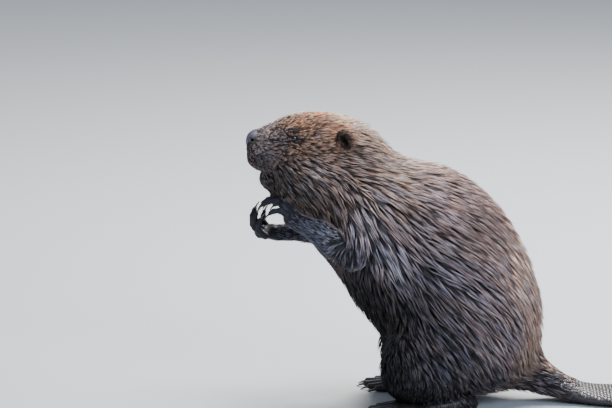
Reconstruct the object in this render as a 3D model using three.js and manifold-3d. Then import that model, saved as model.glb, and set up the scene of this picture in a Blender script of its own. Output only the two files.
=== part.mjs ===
// A life-size young Eurasian beaver sitting up on its hind feet, with its forepaws held up before
// its throat and its flat tail laid out behind it. Units are millimetres, +Z is up, the beaver faces
// -X and its left side is -Y. The floor is z = 0 and the origin is the bottom centre of the model's
// box. The solids are the outside of the coat. Head, neck and trunk are one blended form parted by
// thin cuts; legs, paws, feet, tail, ears, eyes and claws are solids of their own.

import * as THREE from "three";
import { mergeVertices } from "three/addons/utils/BufferGeometryUtils.js";
import Module from "manifold-3d";

const wasm = await Module();
wasm.setup();

// Driving dimensions.
const partGap = 0.3; // clear space between neighbouring nodes

const colours = {
  coat: 0x6b4d38,
  darkCoat: 0x3a2c24,
  bareSkin: 0x3d3a40,
  tailSkin: 0x33302f,
  claw: 0x4a3a2c,
  eye: 0x0a0808,
};

// Stations along the middle of the head and of the torso: place, height of the coat above it and
// depth below it across the line, and half width.
const headStations = [
  { x: -226, z: 341, up: 19, down: 25, wide: 18 }, // nose pad
  { x: -214, z: 340, up: 28, down: 29, wide: 25 }, // whisker pads
  { x: -196, z: 338, up: 40, down: 33, wide: 32 }, // bridge
  { x: -176, z: 336, up: 47, down: 38, wide: 38 }, // eyes
  { x: -152, z: 334, up: 51, down: 44, wide: 44 }, // forehead
  { x: -126, z: 330, up: 52, down: 48, wide: 48 }, // crown
  { x: -102, z: 321, up: 53, down: 50, wide: 51 }, // ears
  { x: -80, z: 306, up: 51, down: 52, wide: 54 }, // nape
  { x: -60, z: 288, up: 47, down: 52, wide: 56 },
];
const noseCap = 10;
const headEndCap = 40;

const torsoStations = [
  { x: -124, z: 296, up: 66, down: 76, wide: 56 }, // throat
  { x: -96, z: 272, up: 73, down: 87, wide: 65 }, // neck
  { x: -62, z: 249, up: 92, down: 101, wide: 77 }, // shoulders
  { x: -29, z: 223, up: 107, down: 112, wide: 87 },
  { x: 0, z: 192, up: 113, down: 116, wide: 95 }, // ribs
  { x: 27, z: 157, up: 110, down: 115, wide: 100 },
  { x: 46, z: 121, up: 103, down: 111, wide: 102 }, // loin
  { x: 52, z: 90, up: 98, down: 101, wide: 98 },
  { x: 54, z: 66, up: 92, down: 88, wide: 91 }, // rump
];
const throatCap = 60;
const rumpCap = 58;

// Soft masses, blended into the tubes above. Those with a y are on both sides.
const noseTip = { x: -227, y: 0, z: 346, rx: 12, ry: 19, rz: 13 };
const whiskerPad = { x: -213, y: 15, z: 327, rx: 24, ry: 18, rz: 19 };
const cheek = { x: -158, y: 26, z: 309, rx: 42, ry: 27, rz: 33 };
const jaw = { x: -172, y: 0, z: 291, rx: 38, ry: 34, rz: 30 };
const shoulder = { x: -68, y: 44, z: 238, rx: 48, ry: 40, rz: 58 };
const thigh = { x: 8, y: 63, z: 77, rx: 62, ry: 44, rz: 63 };
const knee = { x: -26, y: 74, z: 59, rx: 42, ry: 34, rz: 45 };

// Field helpers: negative inside, near to a distance close to the surface.
function ellipsoidAt(x, y, z, e) {
  const [qx, qy, qz] = [(x - e.x) / e.rx, (y - e.y) / e.ry, (z - e.z) / e.rz];
  const size = Math.hypot(qx, qy, qz);
  const slope = Math.hypot(qx / e.rx, qy / e.ry, qz / e.rz);
  return slope > 1e-9 ? (size * (size - 1)) / slope : -Math.min(e.rx, e.ry, e.rz);
}

function blend(a, b, reach) {
  const overlap = Math.max(reach - Math.abs(a - b), 0) / reach;
  return Math.min(a, b) - (overlap * overlap * reach) / 4;
}

// A smooth run of stations, with the direction of the middle line at each sample.
function sampleStations(stations, count) {
  const keys = Object.keys(stations[0]);
  const last = stations.length - 1;
  const at = (i, key) => stations[Math.min(Math.max(i, 0), last)][key];
  const samples = [];
  for (let n = 0; n <= count; n++) {
    const place = (n / count) * last;
    const i = Math.min(Math.floor(place), last - 1);
    const f = place - i;
    const sample = {};
    for (const key of keys) {
      const [a, b, c, d] = [at(i - 1, key), at(i, key), at(i + 1, key), at(i + 2, key)];
      sample[key] = b + 0.5 * f * (c - a + f * (2 * a - 5 * b + 4 * c - d + f * (3 * (b - c) + d - a)));
    }
    samples.push(sample);
  }
  return samples;
}

// The field of a tube whose middle line lies in the y = 0 plane and whose sections are two half
// ellipses, one above the line and one below it.
function tubeField(stations, startCap, endCap) {
  const samples = sampleStations(stations, 48);
  const keys = ["up", "down", "wide"];
  return (x, y, z) => {
    let best = { distance: Infinity };
    for (let i = 0; i + 1 < samples.length; i++) {
      const [a, b] = [samples[i], samples[i + 1]];
      const [ex, ez] = [b.x - a.x, b.z - a.z];
      const raw = ((x - a.x) * ex + (z - a.z) * ez) / (ex * ex + ez * ez);
      const f = Math.min(Math.max(raw, 0), 1);
      const distance = Math.hypot(x - a.x - f * ex, z - a.z - f * ez);
      if (distance < best.distance) best = { distance, i, f, ex, ez };
    }
    const [a, b] = [samples[best.i], samples[best.i + 1]];
    const length = Math.hypot(best.ex, best.ez);
    const [tx, tz] = [best.ex / length, best.ez / length];
    const [dx, dz] = [x - a.x - best.f * best.ex, z - a.z - best.f * best.ez];
    const [up, down, wide] = keys.map((key) => a[key] + best.f * (b[key] - a[key]));
    const side = -dx * tz + dz * tx;
    const along = dx * tx + dz * tz;
    const high = side > 0 ? up : down;
    const cap = along < 0 ? startCap : endCap;
    const size = Math.hypot(side / high, y / wide, along / cap);
    const slope = Math.hypot(side / high ** 2, y / wide ** 2, along / cap ** 2);
    return slope > 1e-9 ? (size * (size - 1)) / slope : -Math.min(high, wide);
  };
}

const headTube = tubeField(headStations, noseCap, headEndCap);
const torsoTube = tubeField(torsoStations, throatCap, rumpCap);

// The coat without limbs: y is folded over, so both sides are alike.
function bodyField(x, y, z) {
  const side = Math.abs(y);
  let head = blend(headTube(x, y, z), ellipsoidAt(x, side, z, cheek), 16);
  head = blend(head, ellipsoidAt(x, side, z, whiskerPad), 8);
  head = blend(head, ellipsoidAt(x, y, z, noseTip), 8);
  head = blend(head, ellipsoidAt(x, y, z, jaw), 8);
  const torso = blend(torsoTube(x, y, z), ellipsoidAt(x, side, z, shoulder), 30);
  return blend(head, torso, 24);
}

// The folded hind leg on the +Y side, from thigh to knee and shank.
function hindLegField(x, y, z) {
  return blend(ellipsoidAt(x, y, z, thigh), ellipsoidAt(x, y, z, knee), 24);
}

// Solids.
function toSolid(geometry) {
  const bare = geometry.index ? geometry.toNonIndexed() : geometry.clone();
  const shell = new THREE.BufferGeometry().setAttribute("position", bare.getAttribute("position"));
  const merged = mergeVertices(shell, 1e-3);
  const mesh = new wasm.Mesh({
    numProp: 3,
    vertProperties: merged.attributes.position.array,
    triVerts: new Uint32Array(merged.index.array),
  });
  return new wasm.Manifold(mesh);
}

function toMesh(name, solid, colour, roughness) {
  const { vertProperties, triVerts, numProp, numVert } = solid.getMesh();
  const position = new Float32Array(numVert * 3);
  for (let i = 0; i < numVert; i++) {
    position.set(vertProperties.subarray(i * numProp, i * numProp + 3), i * 3);
  }
  const geometry = new THREE.BufferGeometry();
  geometry.setAttribute("position", new THREE.BufferAttribute(position, 3));
  geometry.setIndex(new THREE.BufferAttribute(new Uint32Array(triVerts), 1));
  geometry.computeVertexNormals();
  const material = new THREE.MeshStandardMaterial({ color: colour, roughness, metalness: 0 });
  const mesh = new THREE.Mesh(geometry, material);
  mesh.name = name;
  return mesh;
}

// A closed skin of rings: ring 0 and the last ring shrink to a point.
function closeRings(rings) {
  const segments = rings[1].length;
  const position = [];
  const index = [];
  const start = rings[0][0];
  const end = rings[rings.length - 1][0];
  const inner = rings.slice(1, -1);
  position.push(...start);
  inner.forEach((ring) => ring.forEach((p) => position.push(...p)));
  position.push(...end);
  const lastVertex = 1 + inner.length * segments;
  const vertex = (ring, i) => 1 + ring * segments + (i % segments);
  for (let i = 0; i < segments; i++) {
    index.push(0, vertex(0, i + 1), vertex(0, i));
    for (let r = 0; r + 1 < inner.length; r++) {
      index.push(vertex(r, i), vertex(r, i + 1), vertex(r + 1, i));
      index.push(vertex(r, i + 1), vertex(r + 1, i + 1), vertex(r + 1, i));
    }
    index.push(lastVertex, vertex(inner.length - 1, i), vertex(inner.length - 1, i + 1));
  }
  const geometry = new THREE.BufferGeometry();
  geometry.setAttribute("position", new THREE.Float32BufferAttribute(position, 3));
  geometry.setIndex(index);
  return geometry;
}

// How far a ray from inside a field runs before it leaves it.
function reachOut(field, origin, direction, limit) {
  const at = (s) => field(origin.x + s * direction.x, origin.y + s * direction.y, origin.z + s * direction.z);
  let [low, high] = [0, 3];
  while (high < limit && at(high) < 0) {
    low = high;
    high += 3;
  }
  for (let i = 0; i < 14; i++) {
    const middle = (low + high) / 2;
    if (at(middle) < 0) low = middle;
    else high = middle;
  }
  return low;
}

// Wraps a field with rings round a line of middle points. The end rings turn towards the line's own
// direction, so that both ends close.
function wrapField(field, line, { rings: ringCount, segments, startCap, endCap }, grow = 0) {
  const rings = [];
  const frameAt = (t) => {
    const origin = line.getPointAt(t);
    const forward = line.getTangentAt(t);
    const across = new THREE.Vector3(0, 1, 0);
    const up = new THREE.Vector3().crossVectors(across, forward).normalize();
    return { origin, forward, across: new THREE.Vector3().crossVectors(forward, up), up };
  };
  const addRing = (t, tilt) => {
    const { origin, forward, across, up } = frameAt(t);
    const ring = [];
    for (let i = 0; i < segments; i++) {
      const turn = (i / segments) * 2 * Math.PI;
      const direction = up.clone().multiplyScalar(Math.cos(turn) * Math.cos(tilt));
      direction.addScaledVector(across, Math.sin(turn) * Math.cos(tilt));
      direction.addScaledVector(forward, Math.sin(tilt));
      const s = reachOut(field, origin, direction, 400) + grow;
      ring.push(origin.clone().addScaledVector(direction, s).toArray());
    }
    rings.push(ring);
  };
  for (let c = startCap; c > 0; c--) addRing(0, (-Math.PI / 2) * (c / startCap));
  for (let r = 0; r <= ringCount; r++) addRing(r / ringCount, 0);
  for (let c = 1; c <= endCap; c++) addRing(1, (Math.PI / 2) * (c / endCap));
  return closeRings(rings);
}

function curveThrough(points) {
  return new THREE.CatmullRomCurve3(points.map((p) => new THREE.Vector3(...p)), false, "centripetal");
}

// A tube with elliptical sections along a line: radii are [along up, across] at even steps of it.
function limb(points, radii, ringCount, segments, across = new THREE.Vector3(0, 1, 0), capSteps = 2) {
  const line = curveThrough(points);
  const last = radii.length - 1;
  const radiusAt = (t, k) => {
    const place = Math.min(Math.max(t, 0), 1) * last;
    const i = Math.min(Math.floor(place), last - 1);
    const f = THREE.MathUtils.smoothstep(place - i, 0, 1);
    return radii[i][k] + f * (radii[i + 1][k] - radii[i][k]);
  };
  const rings = [];
  const addRing = (t, shrink, push) => {
    const forward = line.getTangentAt(t);
    const up = new THREE.Vector3().crossVectors(across, forward).normalize();
    const side = new THREE.Vector3().crossVectors(forward, up);
    const origin = line.getPointAt(t).addScaledVector(forward, push);
    const ring = [];
    for (let i = 0; i < segments; i++) {
      const turn = (i / segments) * 2 * Math.PI;
      const p = origin.clone().addScaledVector(up, Math.cos(turn) * radiusAt(t, 0) * shrink);
      ring.push(p.addScaledVector(side, Math.sin(turn) * radiusAt(t, 1) * shrink).toArray());
    }
    rings.push(ring);
  };
  const endRadius = (t) => Math.min(radiusAt(t, 0), radiusAt(t, 1));
  for (let c = capSteps; c > 0; c--) {
    const angle = (Math.PI / 2) * (c / capSteps);
    addRing(0, Math.max(Math.cos(angle), 0), -Math.sin(angle) * endRadius(0));
  }
  for (let r = 0; r <= ringCount; r++) addRing(r / ringCount, 1, 0);
  for (let c = 1; c <= capSteps; c++) {
    const angle = (Math.PI / 2) * (c / capSteps);
    addRing(1, Math.max(Math.cos(angle), 0), Math.sin(angle) * endRadius(1));
  }
  return toSolid(closeRings(rings));
}

function ellipsoidSolid({ x, y, z, rx, ry, rz }, grow = 0, detail = 24) {
  const geometry = new THREE.SphereGeometry(1, detail, Math.round(detail / 2));
  geometry.scale(rx + grow, ry + grow, rz + grow);
  geometry.translate(x, y, z);
  return toSolid(geometry);
}

// Everything on the far side of a plane through a point, moved along its direction by a shift.
function halfSpace(point, direction, shift) {
  const size = 1500;
  const forward = new THREE.Vector3(...direction).normalize();
  const turn = new THREE.Quaternion().setFromUnitVectors(new THREE.Vector3(1, 0, 0), forward);
  const geometry = new THREE.BoxGeometry(size, size, size);
  geometry.translate(size / 2 + shift, 0, 0);
  geometry.applyQuaternion(turn);
  geometry.translate(...point);
  return toSolid(geometry);
}

const before = (solid, cut) => largest(solid.subtract(halfSpace(cut.point, cut.direction, -partGap / 2)));
const beyond = (solid, cut) => largest(solid.intersect(halfSpace(cut.point, cut.direction, partGap / 2)));

// Cuts can leave crumbs: only the largest body is kept.
function largest(solid) {
  return solid.decompose().reduce((a, b) => (a.volume() > b.volume() ? a : b));
}

const join = (parts) => parts.reduce((a, b) => a.add(b));
const aboveFloor = halfSpace([0, 0, 0], [0, 0, 1], 0);
const sideSign = { left: -1, right: 1 };
const onSide = (e, side) => ({ ...e, y: e.y * sideSign[side] });
const vector = (p) => new THREE.Vector3(...p);

const beaver = new THREE.Group();

function add(name, solid, colour, roughness = 0.85) {
  beaver.add(toMesh(name, solid, colour, roughness));
}

// Head, neck and trunk.
const headLine = curveThrough([
  [-204, 0, 332],
  [-175, 0, 324],
  [-130, 0, 310],
  [-85, 0, 288],
]);
const torsoLine = curveThrough([
  [-130, 0, 300],
  [-62, 0, 245],
  [-4, 0, 186],
  [38, 0, 130],
  [62, 0, 84],
]);
const headMesh = { rings: 17, segments: 28, startCap: 8, endCap: 2 };
const torsoMesh = { rings: 17, segments: 30, startCap: 2, endCap: 6 };
const headWrap = (grow) => toSolid(wrapField(bodyField, headLine, headMesh, grow));
const torsoWrap = (grow) => toSolid(wrapField(bodyField, torsoLine, torsoMesh, grow));
const grownBody = headWrap(partGap).add(torsoWrap(partGap));

const neckCut = { point: [-112, 0, 300], direction: [0.7, 0, -0.71] };
const shoulderCut = { point: [-66, 0, 262], direction: [0.62, 0, -0.78] };

const eye = { x: -177, y: 32, z: 355, rx: 6, ry: 5, rz: 5.5 };
const eyeFacets = 10;
const eyeRoom = join([eye, onSide(eye, "left")].map((e) => ellipsoidSolid(e, partGap, eyeFacets)));
const jawLine = [[-160, 0, 287], [-184, 0, 290], [-205, 0, 297]];
const jawRadii = [[28, 36], [27, 31], [17, 21]];
const headCore = headWrap(0).add(limb(jawLine, jawRadii, 4, 16));
add("head", before(headCore, neckCut).subtract(eyeRoom), colours.coat);
const torsoCore = torsoWrap(0).intersect(aboveFloor);
add("neck", before(beyond(torsoCore, neckCut), shoulderCut), colours.coat);
add("trunk", beyond(torsoCore, shoulderCut), colours.coat);

// A round ear, dished on the side that faces out and forward.
const ear = { x: -112, y: 50, z: 356, height: 13, width: 11.5, depth: 6, lean: 14, pitch: 8, turn: 24 };

function earSolid(side) {
  const shell = new THREE.SphereGeometry(1, 12, 8).scale(ear.width, ear.depth, ear.height);
  const dish = new THREE.SphereGeometry(1, 10, 6).scale(ear.width * 0.72, ear.depth, ear.height * 0.74);
  dish.translate(-1.5, -ear.depth * 0.75, -1);
  const cup = toSolid(shell).subtract(toSolid(dish));
  const turned = side === "left" ? cup : cup.mirror([0, 1, 0]);
  const turn = [-ear.lean * sideSign[side], ear.pitch, ear.turn * sideSign[side]];
  return turned.rotate(turn).translate([ear.x, ear.y * sideSign[side], ear.z]);
}

// Digits are bent tubes that end in claws.
function digitPath(base, directions, lengths) {
  const path = [base.clone()];
  directions.forEach((direction, i) => {
    path.push(path[path.length - 1].clone().addScaledVector(direction, lengths[i]));
  });
  return path;
}

// A digit and its claw, parted by a flat cut through the digit's tip.
function digitAndClaw(path, radii, across, down, claw) {
  const tip = path[path.length - 1];
  const forward = tip.clone().sub(path[path.length - 2]).normalize();
  const digit = limb(path.map((p) => p.toArray()), radii, 4, 6, across, 1);
  const place = (share, drop) => {
    const p = tip.clone().addScaledVector(forward, claw.length * share);
    return p.addScaledVector(down, claw.length * drop).toArray();
  };
  const points = [place(-0.2, 0), place(0.5, claw.hook * 0.25), place(1, claw.hook)];
  const clawRadii = [[claw.thick, claw.wide], [claw.thick * 0.7, claw.wide * 0.75], [0.6, 0.7]];
  const nail = limb(points, clawRadii, 2, 5, across, 1);
  const cut = { point: place(0.08, 0), direction: forward.toArray() };
  return [before(digit, cut), beyond(nail, cut)];
}

// Forelegs and hands.
const upperArmRadii = [[22, 20], [26, 22], [24, 20]];
const forearmRadii = [[24, 20], [24, 19], [18, 15], [12.5, 11.5], [10, 10.5]];
const palm = { length: 25, thick: 8, wide: 15 };
const finger = { lengths: [15, 12, 8], radii: [[5, 5], [4.6, 4.5], [4.1, 4], [3.2, 3.1]] };
const fingers = [
  { scale: 0.72, base: 0.5, spread: -0.95 }, // thumb
  { scale: 0.95, base: 0.95, spread: -0.52 },
  { scale: 1.05, base: 1, spread: -0.04 },
  { scale: 1, base: 0.97, spread: 0.44 },
  { scale: 0.85, base: 0.86, spread: 0.86 },
];
const fingerFan = 0.16;
const foreClaw = { length: 11, thick: 1.9, wide: 1.8, hook: 0.35 };

// Each hand has its own turn: where the palm points and faces, and how its three joints curl.
const arms = {
  left: {
    shoulder: [-62, -46, 262],
    elbow: [-100, -70, 210],
    middle: [-137, -56, 231],
    wrist: [-176, -32, 246],
    palmAlong: [-0.46, 0.28, 0.84],
    palmFaces: [-0.8, 0.29, -0.53],
    curl: [28, 66, 90],
  },
  right: {
    shoulder: [-62, 46, 262],
    elbow: [-103, 70, 208],
    middle: [-148, 52, 215],
    wrist: [-198, 27, 219],
    palmAlong: [-0.99, -0.16, 0.06],
    palmFaces: [0.08, -0.22, 0.97],
    curl: [44, 82, 98],
  },
};

function armSolids(arm) {
  const [shoulderPoint, elbow, wrist] = [arm.shoulder, arm.elbow, arm.wrist].map(vector);
  const toShoulder = shoulderPoint.clone().sub(elbow).normalize();
  const toWrist = wrist.clone().sub(vector(arm.middle)).normalize();
  const across = new THREE.Vector3().crossVectors(toWrist, toShoulder).normalize();
  const pastWrist = wrist.clone().addScaledVector(toWrist, 6).toArray();
  const upper = limb([arm.shoulder, arm.elbow], upperArmRadii, 3, 12, across);
  const lower = limb([arm.elbow, arm.middle, pastWrist], forearmRadii, 6, 12, across);
  return { whole: upper.add(lower), wristCut: { point: arm.wrist, direction: toWrist.toArray() } };
}

function handSolids(arm) {
  const wrist = vector(arm.wrist);
  const along = vector(arm.palmAlong).normalize();
  const faces = vector(arm.palmFaces).addScaledVector(along, -along.dot(vector(arm.palmFaces))).normalize();
  const thumbward = new THREE.Vector3().crossVectors(along, faces);
  const knuckles = wrist.clone().addScaledVector(along, palm.length);
  const palmRadii = [[9, 10], [palm.thick, palm.wide * 0.9], [palm.thick * 0.8, palm.wide]];
  const solids = [limb([wrist.toArray(), knuckles.toArray()], palmRadii, 3, 10, thumbward)];
  const claws = fingers.map(({ scale, base, spread }) => {
    const root = wrist.clone().addScaledVector(along, palm.length * base - 3);
    root.addScaledVector(thumbward, -palm.wide * spread);
    const bend = (degrees) => {
      const angle = THREE.MathUtils.degToRad(degrees);
      const direction = along.clone().multiplyScalar(Math.cos(angle)).addScaledVector(faces, Math.sin(angle));
      return direction.addScaledVector(thumbward, -fingerFan * spread).normalize();
    };
    const path = digitPath(root, arm.curl.map(bend), finger.lengths.map((l) => l * scale));
    const radii = finger.radii.map((r) => r.map((v) => v * (0.6 + 0.4 * scale)));
    const [digit, claw] = digitAndClaw(path, radii, thumbward, bend(arm.curl[2] + 90), foreClaw);
    solids.push(digit);
    return claw;
  });
  return { hand: join(solids), claws };
}

// Hind feet: a flat sole, five webbed toes that fan out, and their claws.
const foot = {
  heel: [48, 58, 10],
  middle: [10, 65, 9],
  ball: [-28, 71, 7],
  radii: [[13, 14], [11, 18], [7, 25]],
  turn: 10, // degrees outward
};
const toes = [
  { length: 36, spread: -19, fan: -13 }, // inner toe
  { length: 47, spread: -10, fan: -6 },
  { length: 55, spread: 0, fan: 1 },
  { length: 56, spread: 10, fan: 8 },
  { length: 47, spread: 19, fan: 16 },
];
const toeRadii = [[7, 6.5], [6, 5.5], [5.5, 5], [4, 4]];
const web = { thick: 3, height: 2, reach: 0.84, notch: 0.62 };
const hindClaw = { length: 13, thick: 2.4, wide: 3, hook: 0.3 };
const toeHeights = [7, 7.5, 5.5, 4.6];
const downward = new THREE.Vector3(0, 0, -1);

function toeLine({ spread, length, fan }, share) {
  const angle = THREE.MathUtils.degToRad(fan + foot.turn);
  const turn = THREE.MathUtils.degToRad(foot.turn);
  const [x, y] = foot.ball;
  return [
    x + spread * Math.sin(turn) - Math.cos(angle) * length * share,
    y + spread * Math.cos(turn) + Math.sin(angle) * length * share,
  ];
}

function webSolid() {
  const shape = new THREE.Shape();
  shape.moveTo(...toeLine(toes[0], -0.2));
  toes.forEach((toe, i) => {
    const tip = toeLine(toe, web.reach);
    if (i === 0) {
      shape.lineTo(...tip);
      return;
    }
    const [a, b] = [toeLine(toes[i - 1], web.notch), toeLine(toe, web.notch)];
    shape.quadraticCurveTo((a[0] + b[0]) / 2, (a[1] + b[1]) / 2, ...tip);
  });
  shape.lineTo(...toeLine(toes[toes.length - 1], -0.2));
  const settings = { depth: web.thick, bevelEnabled: false, curveSegments: 4 };
  return toSolid(new THREE.ExtrudeGeometry(shape, settings).translate(0, 0, web.height));
}

const legLine = curveThrough([[-8, 70, 104], [-10, 70, 64], [-8, 70, 36]]);
const legMesh = { rings: 5, segments: 18, startCap: 3, endCap: 3 };
const legWrap = (grow) => toSolid(wrapField(hindLegField, legLine, legMesh, grow));

function footSolids() {
  const solids = [
    limb([foot.heel, foot.middle, foot.ball], foot.radii, 3, 10),
    webSolid(),
  ];
  const claws = toes.map((toe) => {
    const path = toeHeights.map((z, i) => new THREE.Vector3(...toeLine(toe, (i - 0.3) / 2.7), z));
    const [digit, claw] = digitAndClaw(path, toeRadii, new THREE.Vector3(0, 1, 0), downward, hindClaw);
    solids.push(digit);
    return claw;
  });
  return { sole: join(solids), claws };
}

// The tail: a round furred root, then a flat paddle that lies on the floor.
const tailPath = [
  [96, 0, 58],
  [132, 0, 38],
  [166, 0, 22],
  [200, -1, 11],
  [250, -4, 8],
  [310, -9, 7],
  [360, -14, 6.5],
  [398, -19, 6],
];
const tailRadii = [
  [42, 46],
  [31, 38],
  [20, 31],
  [13, 32],
  [10.5, 43],
  [9.5, 52],
  [9, 54],
  [8.5, 51],
  [8, 43],
  [6.5, 24],
];
const tailWhole = limb(tailPath, tailRadii, 15, 14).intersect(aboveFloor);
const tailCut = { point: [186, 0, 12], direction: [1, 0, -0.15] };
add("tail_root", before(tailWhole.subtract(grownBody), tailCut), colours.coat);
add("tail", beyond(tailWhole, tailCut), colours.tailSkin, 0.6);

for (const side of ["left", "right"]) {
  const sided = (solid) => (side === "right" ? solid : solid.mirror([0, 1, 0]));
  add(`eye_${side}`, ellipsoidSolid(onSide(eye, side), 0, eyeFacets), colours.eye, 0.08);
  add(`ear_${side}`, largest(earSolid(side).subtract(grownBody)), colours.darkCoat);

  const { whole, wristCut } = armSolids(arms[side]);
  add(`foreleg_${side}`, before(whole.subtract(grownBody), wristCut), colours.darkCoat);
  const { hand, claws } = handSolids(arms[side]);
  const paw = beyond(hand.add(whole), wristCut);
  add(`forepaw_${side}`, largest(paw.subtract(grownBody)), colours.bareSkin, 0.55);
  claws.forEach((claw, i) => add(`fore_claw_${side}_${i + 1}`, claw, colours.claw, 0.4));

  const leg = sided(legWrap(0)).intersect(aboveFloor).subtract(grownBody);
  add(`hind_leg_${side}`, largest(leg), colours.coat);
  const { sole, claws: toeClaws } = footSolids();
  const clear = grownBody.add(sided(legWrap(partGap)));
  const footOnly = largest(sided(sole).intersect(aboveFloor).subtract(clear));
  add(`hind_foot_${side}`, footOnly, colours.bareSkin, 0.55);
  toeClaws.forEach((claw, i) => {
    add(`hind_claw_${side}_${i + 1}`, sided(claw).intersect(aboveFloor), colours.claw, 0.4);
  });
}

// The origin goes to the bottom centre of the whole.
const box = new THREE.Box3().setFromObject(beaver);
const middle = box.getCenter(new THREE.Vector3());
beaver.position.set(-middle.x, -middle.y, 0);

export default beaver;
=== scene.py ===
import math
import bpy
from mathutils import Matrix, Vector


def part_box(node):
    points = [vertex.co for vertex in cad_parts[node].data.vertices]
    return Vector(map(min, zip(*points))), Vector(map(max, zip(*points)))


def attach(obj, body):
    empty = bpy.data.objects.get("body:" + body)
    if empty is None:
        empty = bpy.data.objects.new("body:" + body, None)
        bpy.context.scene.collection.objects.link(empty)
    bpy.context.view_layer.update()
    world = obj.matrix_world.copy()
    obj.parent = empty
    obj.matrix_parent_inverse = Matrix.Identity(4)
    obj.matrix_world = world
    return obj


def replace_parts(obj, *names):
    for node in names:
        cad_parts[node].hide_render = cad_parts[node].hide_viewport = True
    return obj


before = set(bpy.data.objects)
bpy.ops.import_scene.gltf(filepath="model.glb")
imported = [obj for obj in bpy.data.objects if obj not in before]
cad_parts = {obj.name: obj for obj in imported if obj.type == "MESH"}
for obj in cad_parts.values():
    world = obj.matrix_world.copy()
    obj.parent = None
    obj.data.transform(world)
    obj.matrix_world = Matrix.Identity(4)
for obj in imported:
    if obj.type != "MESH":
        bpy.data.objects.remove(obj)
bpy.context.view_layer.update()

from concurrent.futures import ThreadPoolExecutor

import bmesh
import bpy
import numpy as np
import openvdb
from mathutils import Vector, kdtree

# A young beaver sitting up. Its forms are worked out in millimetres, on the beaver's own axes: it
# faces -X, its left side is -Y, the floor is z = 0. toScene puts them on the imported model.
eyePlace = {"x": -177.0, "z": 355.0}
eyeLow, eyeHigh = [np.array(corner) * 1000 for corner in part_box("eye_left")]
eyeMiddle = (eyeLow + eyeHigh) / 2
eyeRadii = (eyeHigh - eyeLow) / 2
eyeCentre = np.array([eyePlace["x"], abs(eyeMiddle[1]), eyePlace["z"]])
shift = np.array([eyeMiddle[0] - eyePlace["x"], 0, eyeMiddle[2] - eyePlace["z"]])


def toScene(points):
    return (points + shift) / 1000


# Each form below gives a number like a distance from its surface, negative inside.
farAway = 60.0
body = {
    "headLine": [  # x, z, up, down, half width
        (-226, 341, 19, 25, 18),
        (-214, 340, 28, 29, 25),
        (-196, 338, 40, 33, 32),
        (-176, 336, 47, 38, 38),
        (-152, 334, 51, 44, 44),
        (-126, 330, 52, 48, 48),
        (-102, 321, 53, 50, 51),
        (-80, 306, 51, 52, 54),
        (-60, 288, 47, 52, 56),
    ],
    "headCaps": (10, 40),
    "torsoLine": [
        (-124, 296, 66, 76, 56),
        (-96, 272, 73, 87, 65),
        (-62, 249, 92, 101, 77),
        (-29, 223, 107, 112, 87),
        (0, 192, 113, 116, 95),
        (27, 157, 110, 115, 100),
        (46, 121, 103, 111, 102),
        (52, 90, 98, 101, 98),
        (54, 66, 92, 88, 91),
    ],
    "torsoCaps": (60, 58),
    "noseTip": ((-227, 0, 346), (12, 19, 13)),
    "whiskerPad": ((-213, 15, 327), (24, 18, 19)),
    "cheek": ((-158, 26, 309), (42, 27, 33)),
    "jaw": ((-172, 0, 291), (38, 34, 30)),
    "napeHollow": ((-40, 0, 338), (40, 60, 44)),  # where the damp coat parts, behind the head
    "napeDepth": 10,
    "jawLine": [(-160, 0, 287), (-184, 0, 290), (-205, 0, 297)],
    "jawRadii": [(28, 36), (27, 31), (17, 21)],
    "shoulder": ((-68, 44, 238), (48, 40, 58)),
    "thigh": ((8, 63, 77), (62, 44, 63)),
    "knee": ((-26, 74, 59), (42, 34, 45)),
    "coatDepths": (  # x, depths there
        (-240, -230, -216, -198, -172, -130, -92, -40),
        (0.3, 0.5, 1.0, 1.8, 3.0, 4.5, 6.5, 9),
    ),
}
face = {  # the carved lines run through these places, with radii (up, across) along them
    "brow": ((-177, 24.5, 364), (12, 8.5, 4.4)),
    "nostrilWing": ((-228, 12.5, 349), (8.5, 6.5, 8)),
    "nostril": [(-231, 19, 349.5), (-228, 14, 348), (-225, 9, 347)],
    "nostrilRadii": [(2.2, 3.0), (2.2, 2.6), (1.4, 1.6)],
    "nostrilTail": [(-238, 15.5, 353), (-233, 18.6, 351), (-227, 19.5, 347), (-224, 19.5, 343)],
    "nostrilTailRadii": [(1.2, 1.2), (2.1, 2.1), (1.9, 1.9), (0.7, 0.8)],
    "lipGroove": [
        (-236, 0, 356),
        (-239.6, 0, 347),
        (-238.6, 0, 338),
        (-235.6, 0, 329),
        (-231, 0, 319),
    ],
    "lipGrooveRadii": [(1.3, 0.7), (1.7, 0.9), (2.0, 1.1), (2.4, 1.3), (2.4, 1.4)],
    "noseFold": [(-234, 7, 357.5), (-238, 8.5, 350), (-238, 10, 344), (-235.4, 14.5, 339.5)],
    "noseFoldRadii": [(1.2, 1.0), (2.0, 1.5), (2.0, 1.5), (1.0, 0.9)],
    "lidThick": 0.9,
    "eyeOpening": (5.1, 6.0, 3.8),
    "eyeSlant": 10,
}
ear = {
    "centre": (-112, 50, 356),
    "radii": (11.5, 6, 13),
    "dish": ((-1.5, 4.5, -1), (8.3, 6, 9.6)),
    "turn": (-14, 8, 24),
}
arms = {  # the hand's heading, where its palm faces, and how far its fingers bend at each joint
    "left": {
        "shoulder": (-62, -46, 262),
        "elbow": (-100, -70, 210),
        "middle": (-137, -56, 231),
        "wrist": (-176, -32, 246),
        "palmAlong": (-0.46, 0.28, 0.84),
        "palmFaces": (-0.8, 0.29, -0.53),
        "curl": (28, 66, 90),
    },
    "right": {
        "shoulder": (-62, 46, 262),
        "elbow": (-103, 70, 208),
        "middle": (-148, 52, 215),
        "wrist": (-198, 27, 219),
        "palmAlong": (-0.99, -0.16, 0.06),
        "palmFaces": (0.08, -0.22, 0.97),
        "curl": (44, 82, 98),
    },
}
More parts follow.
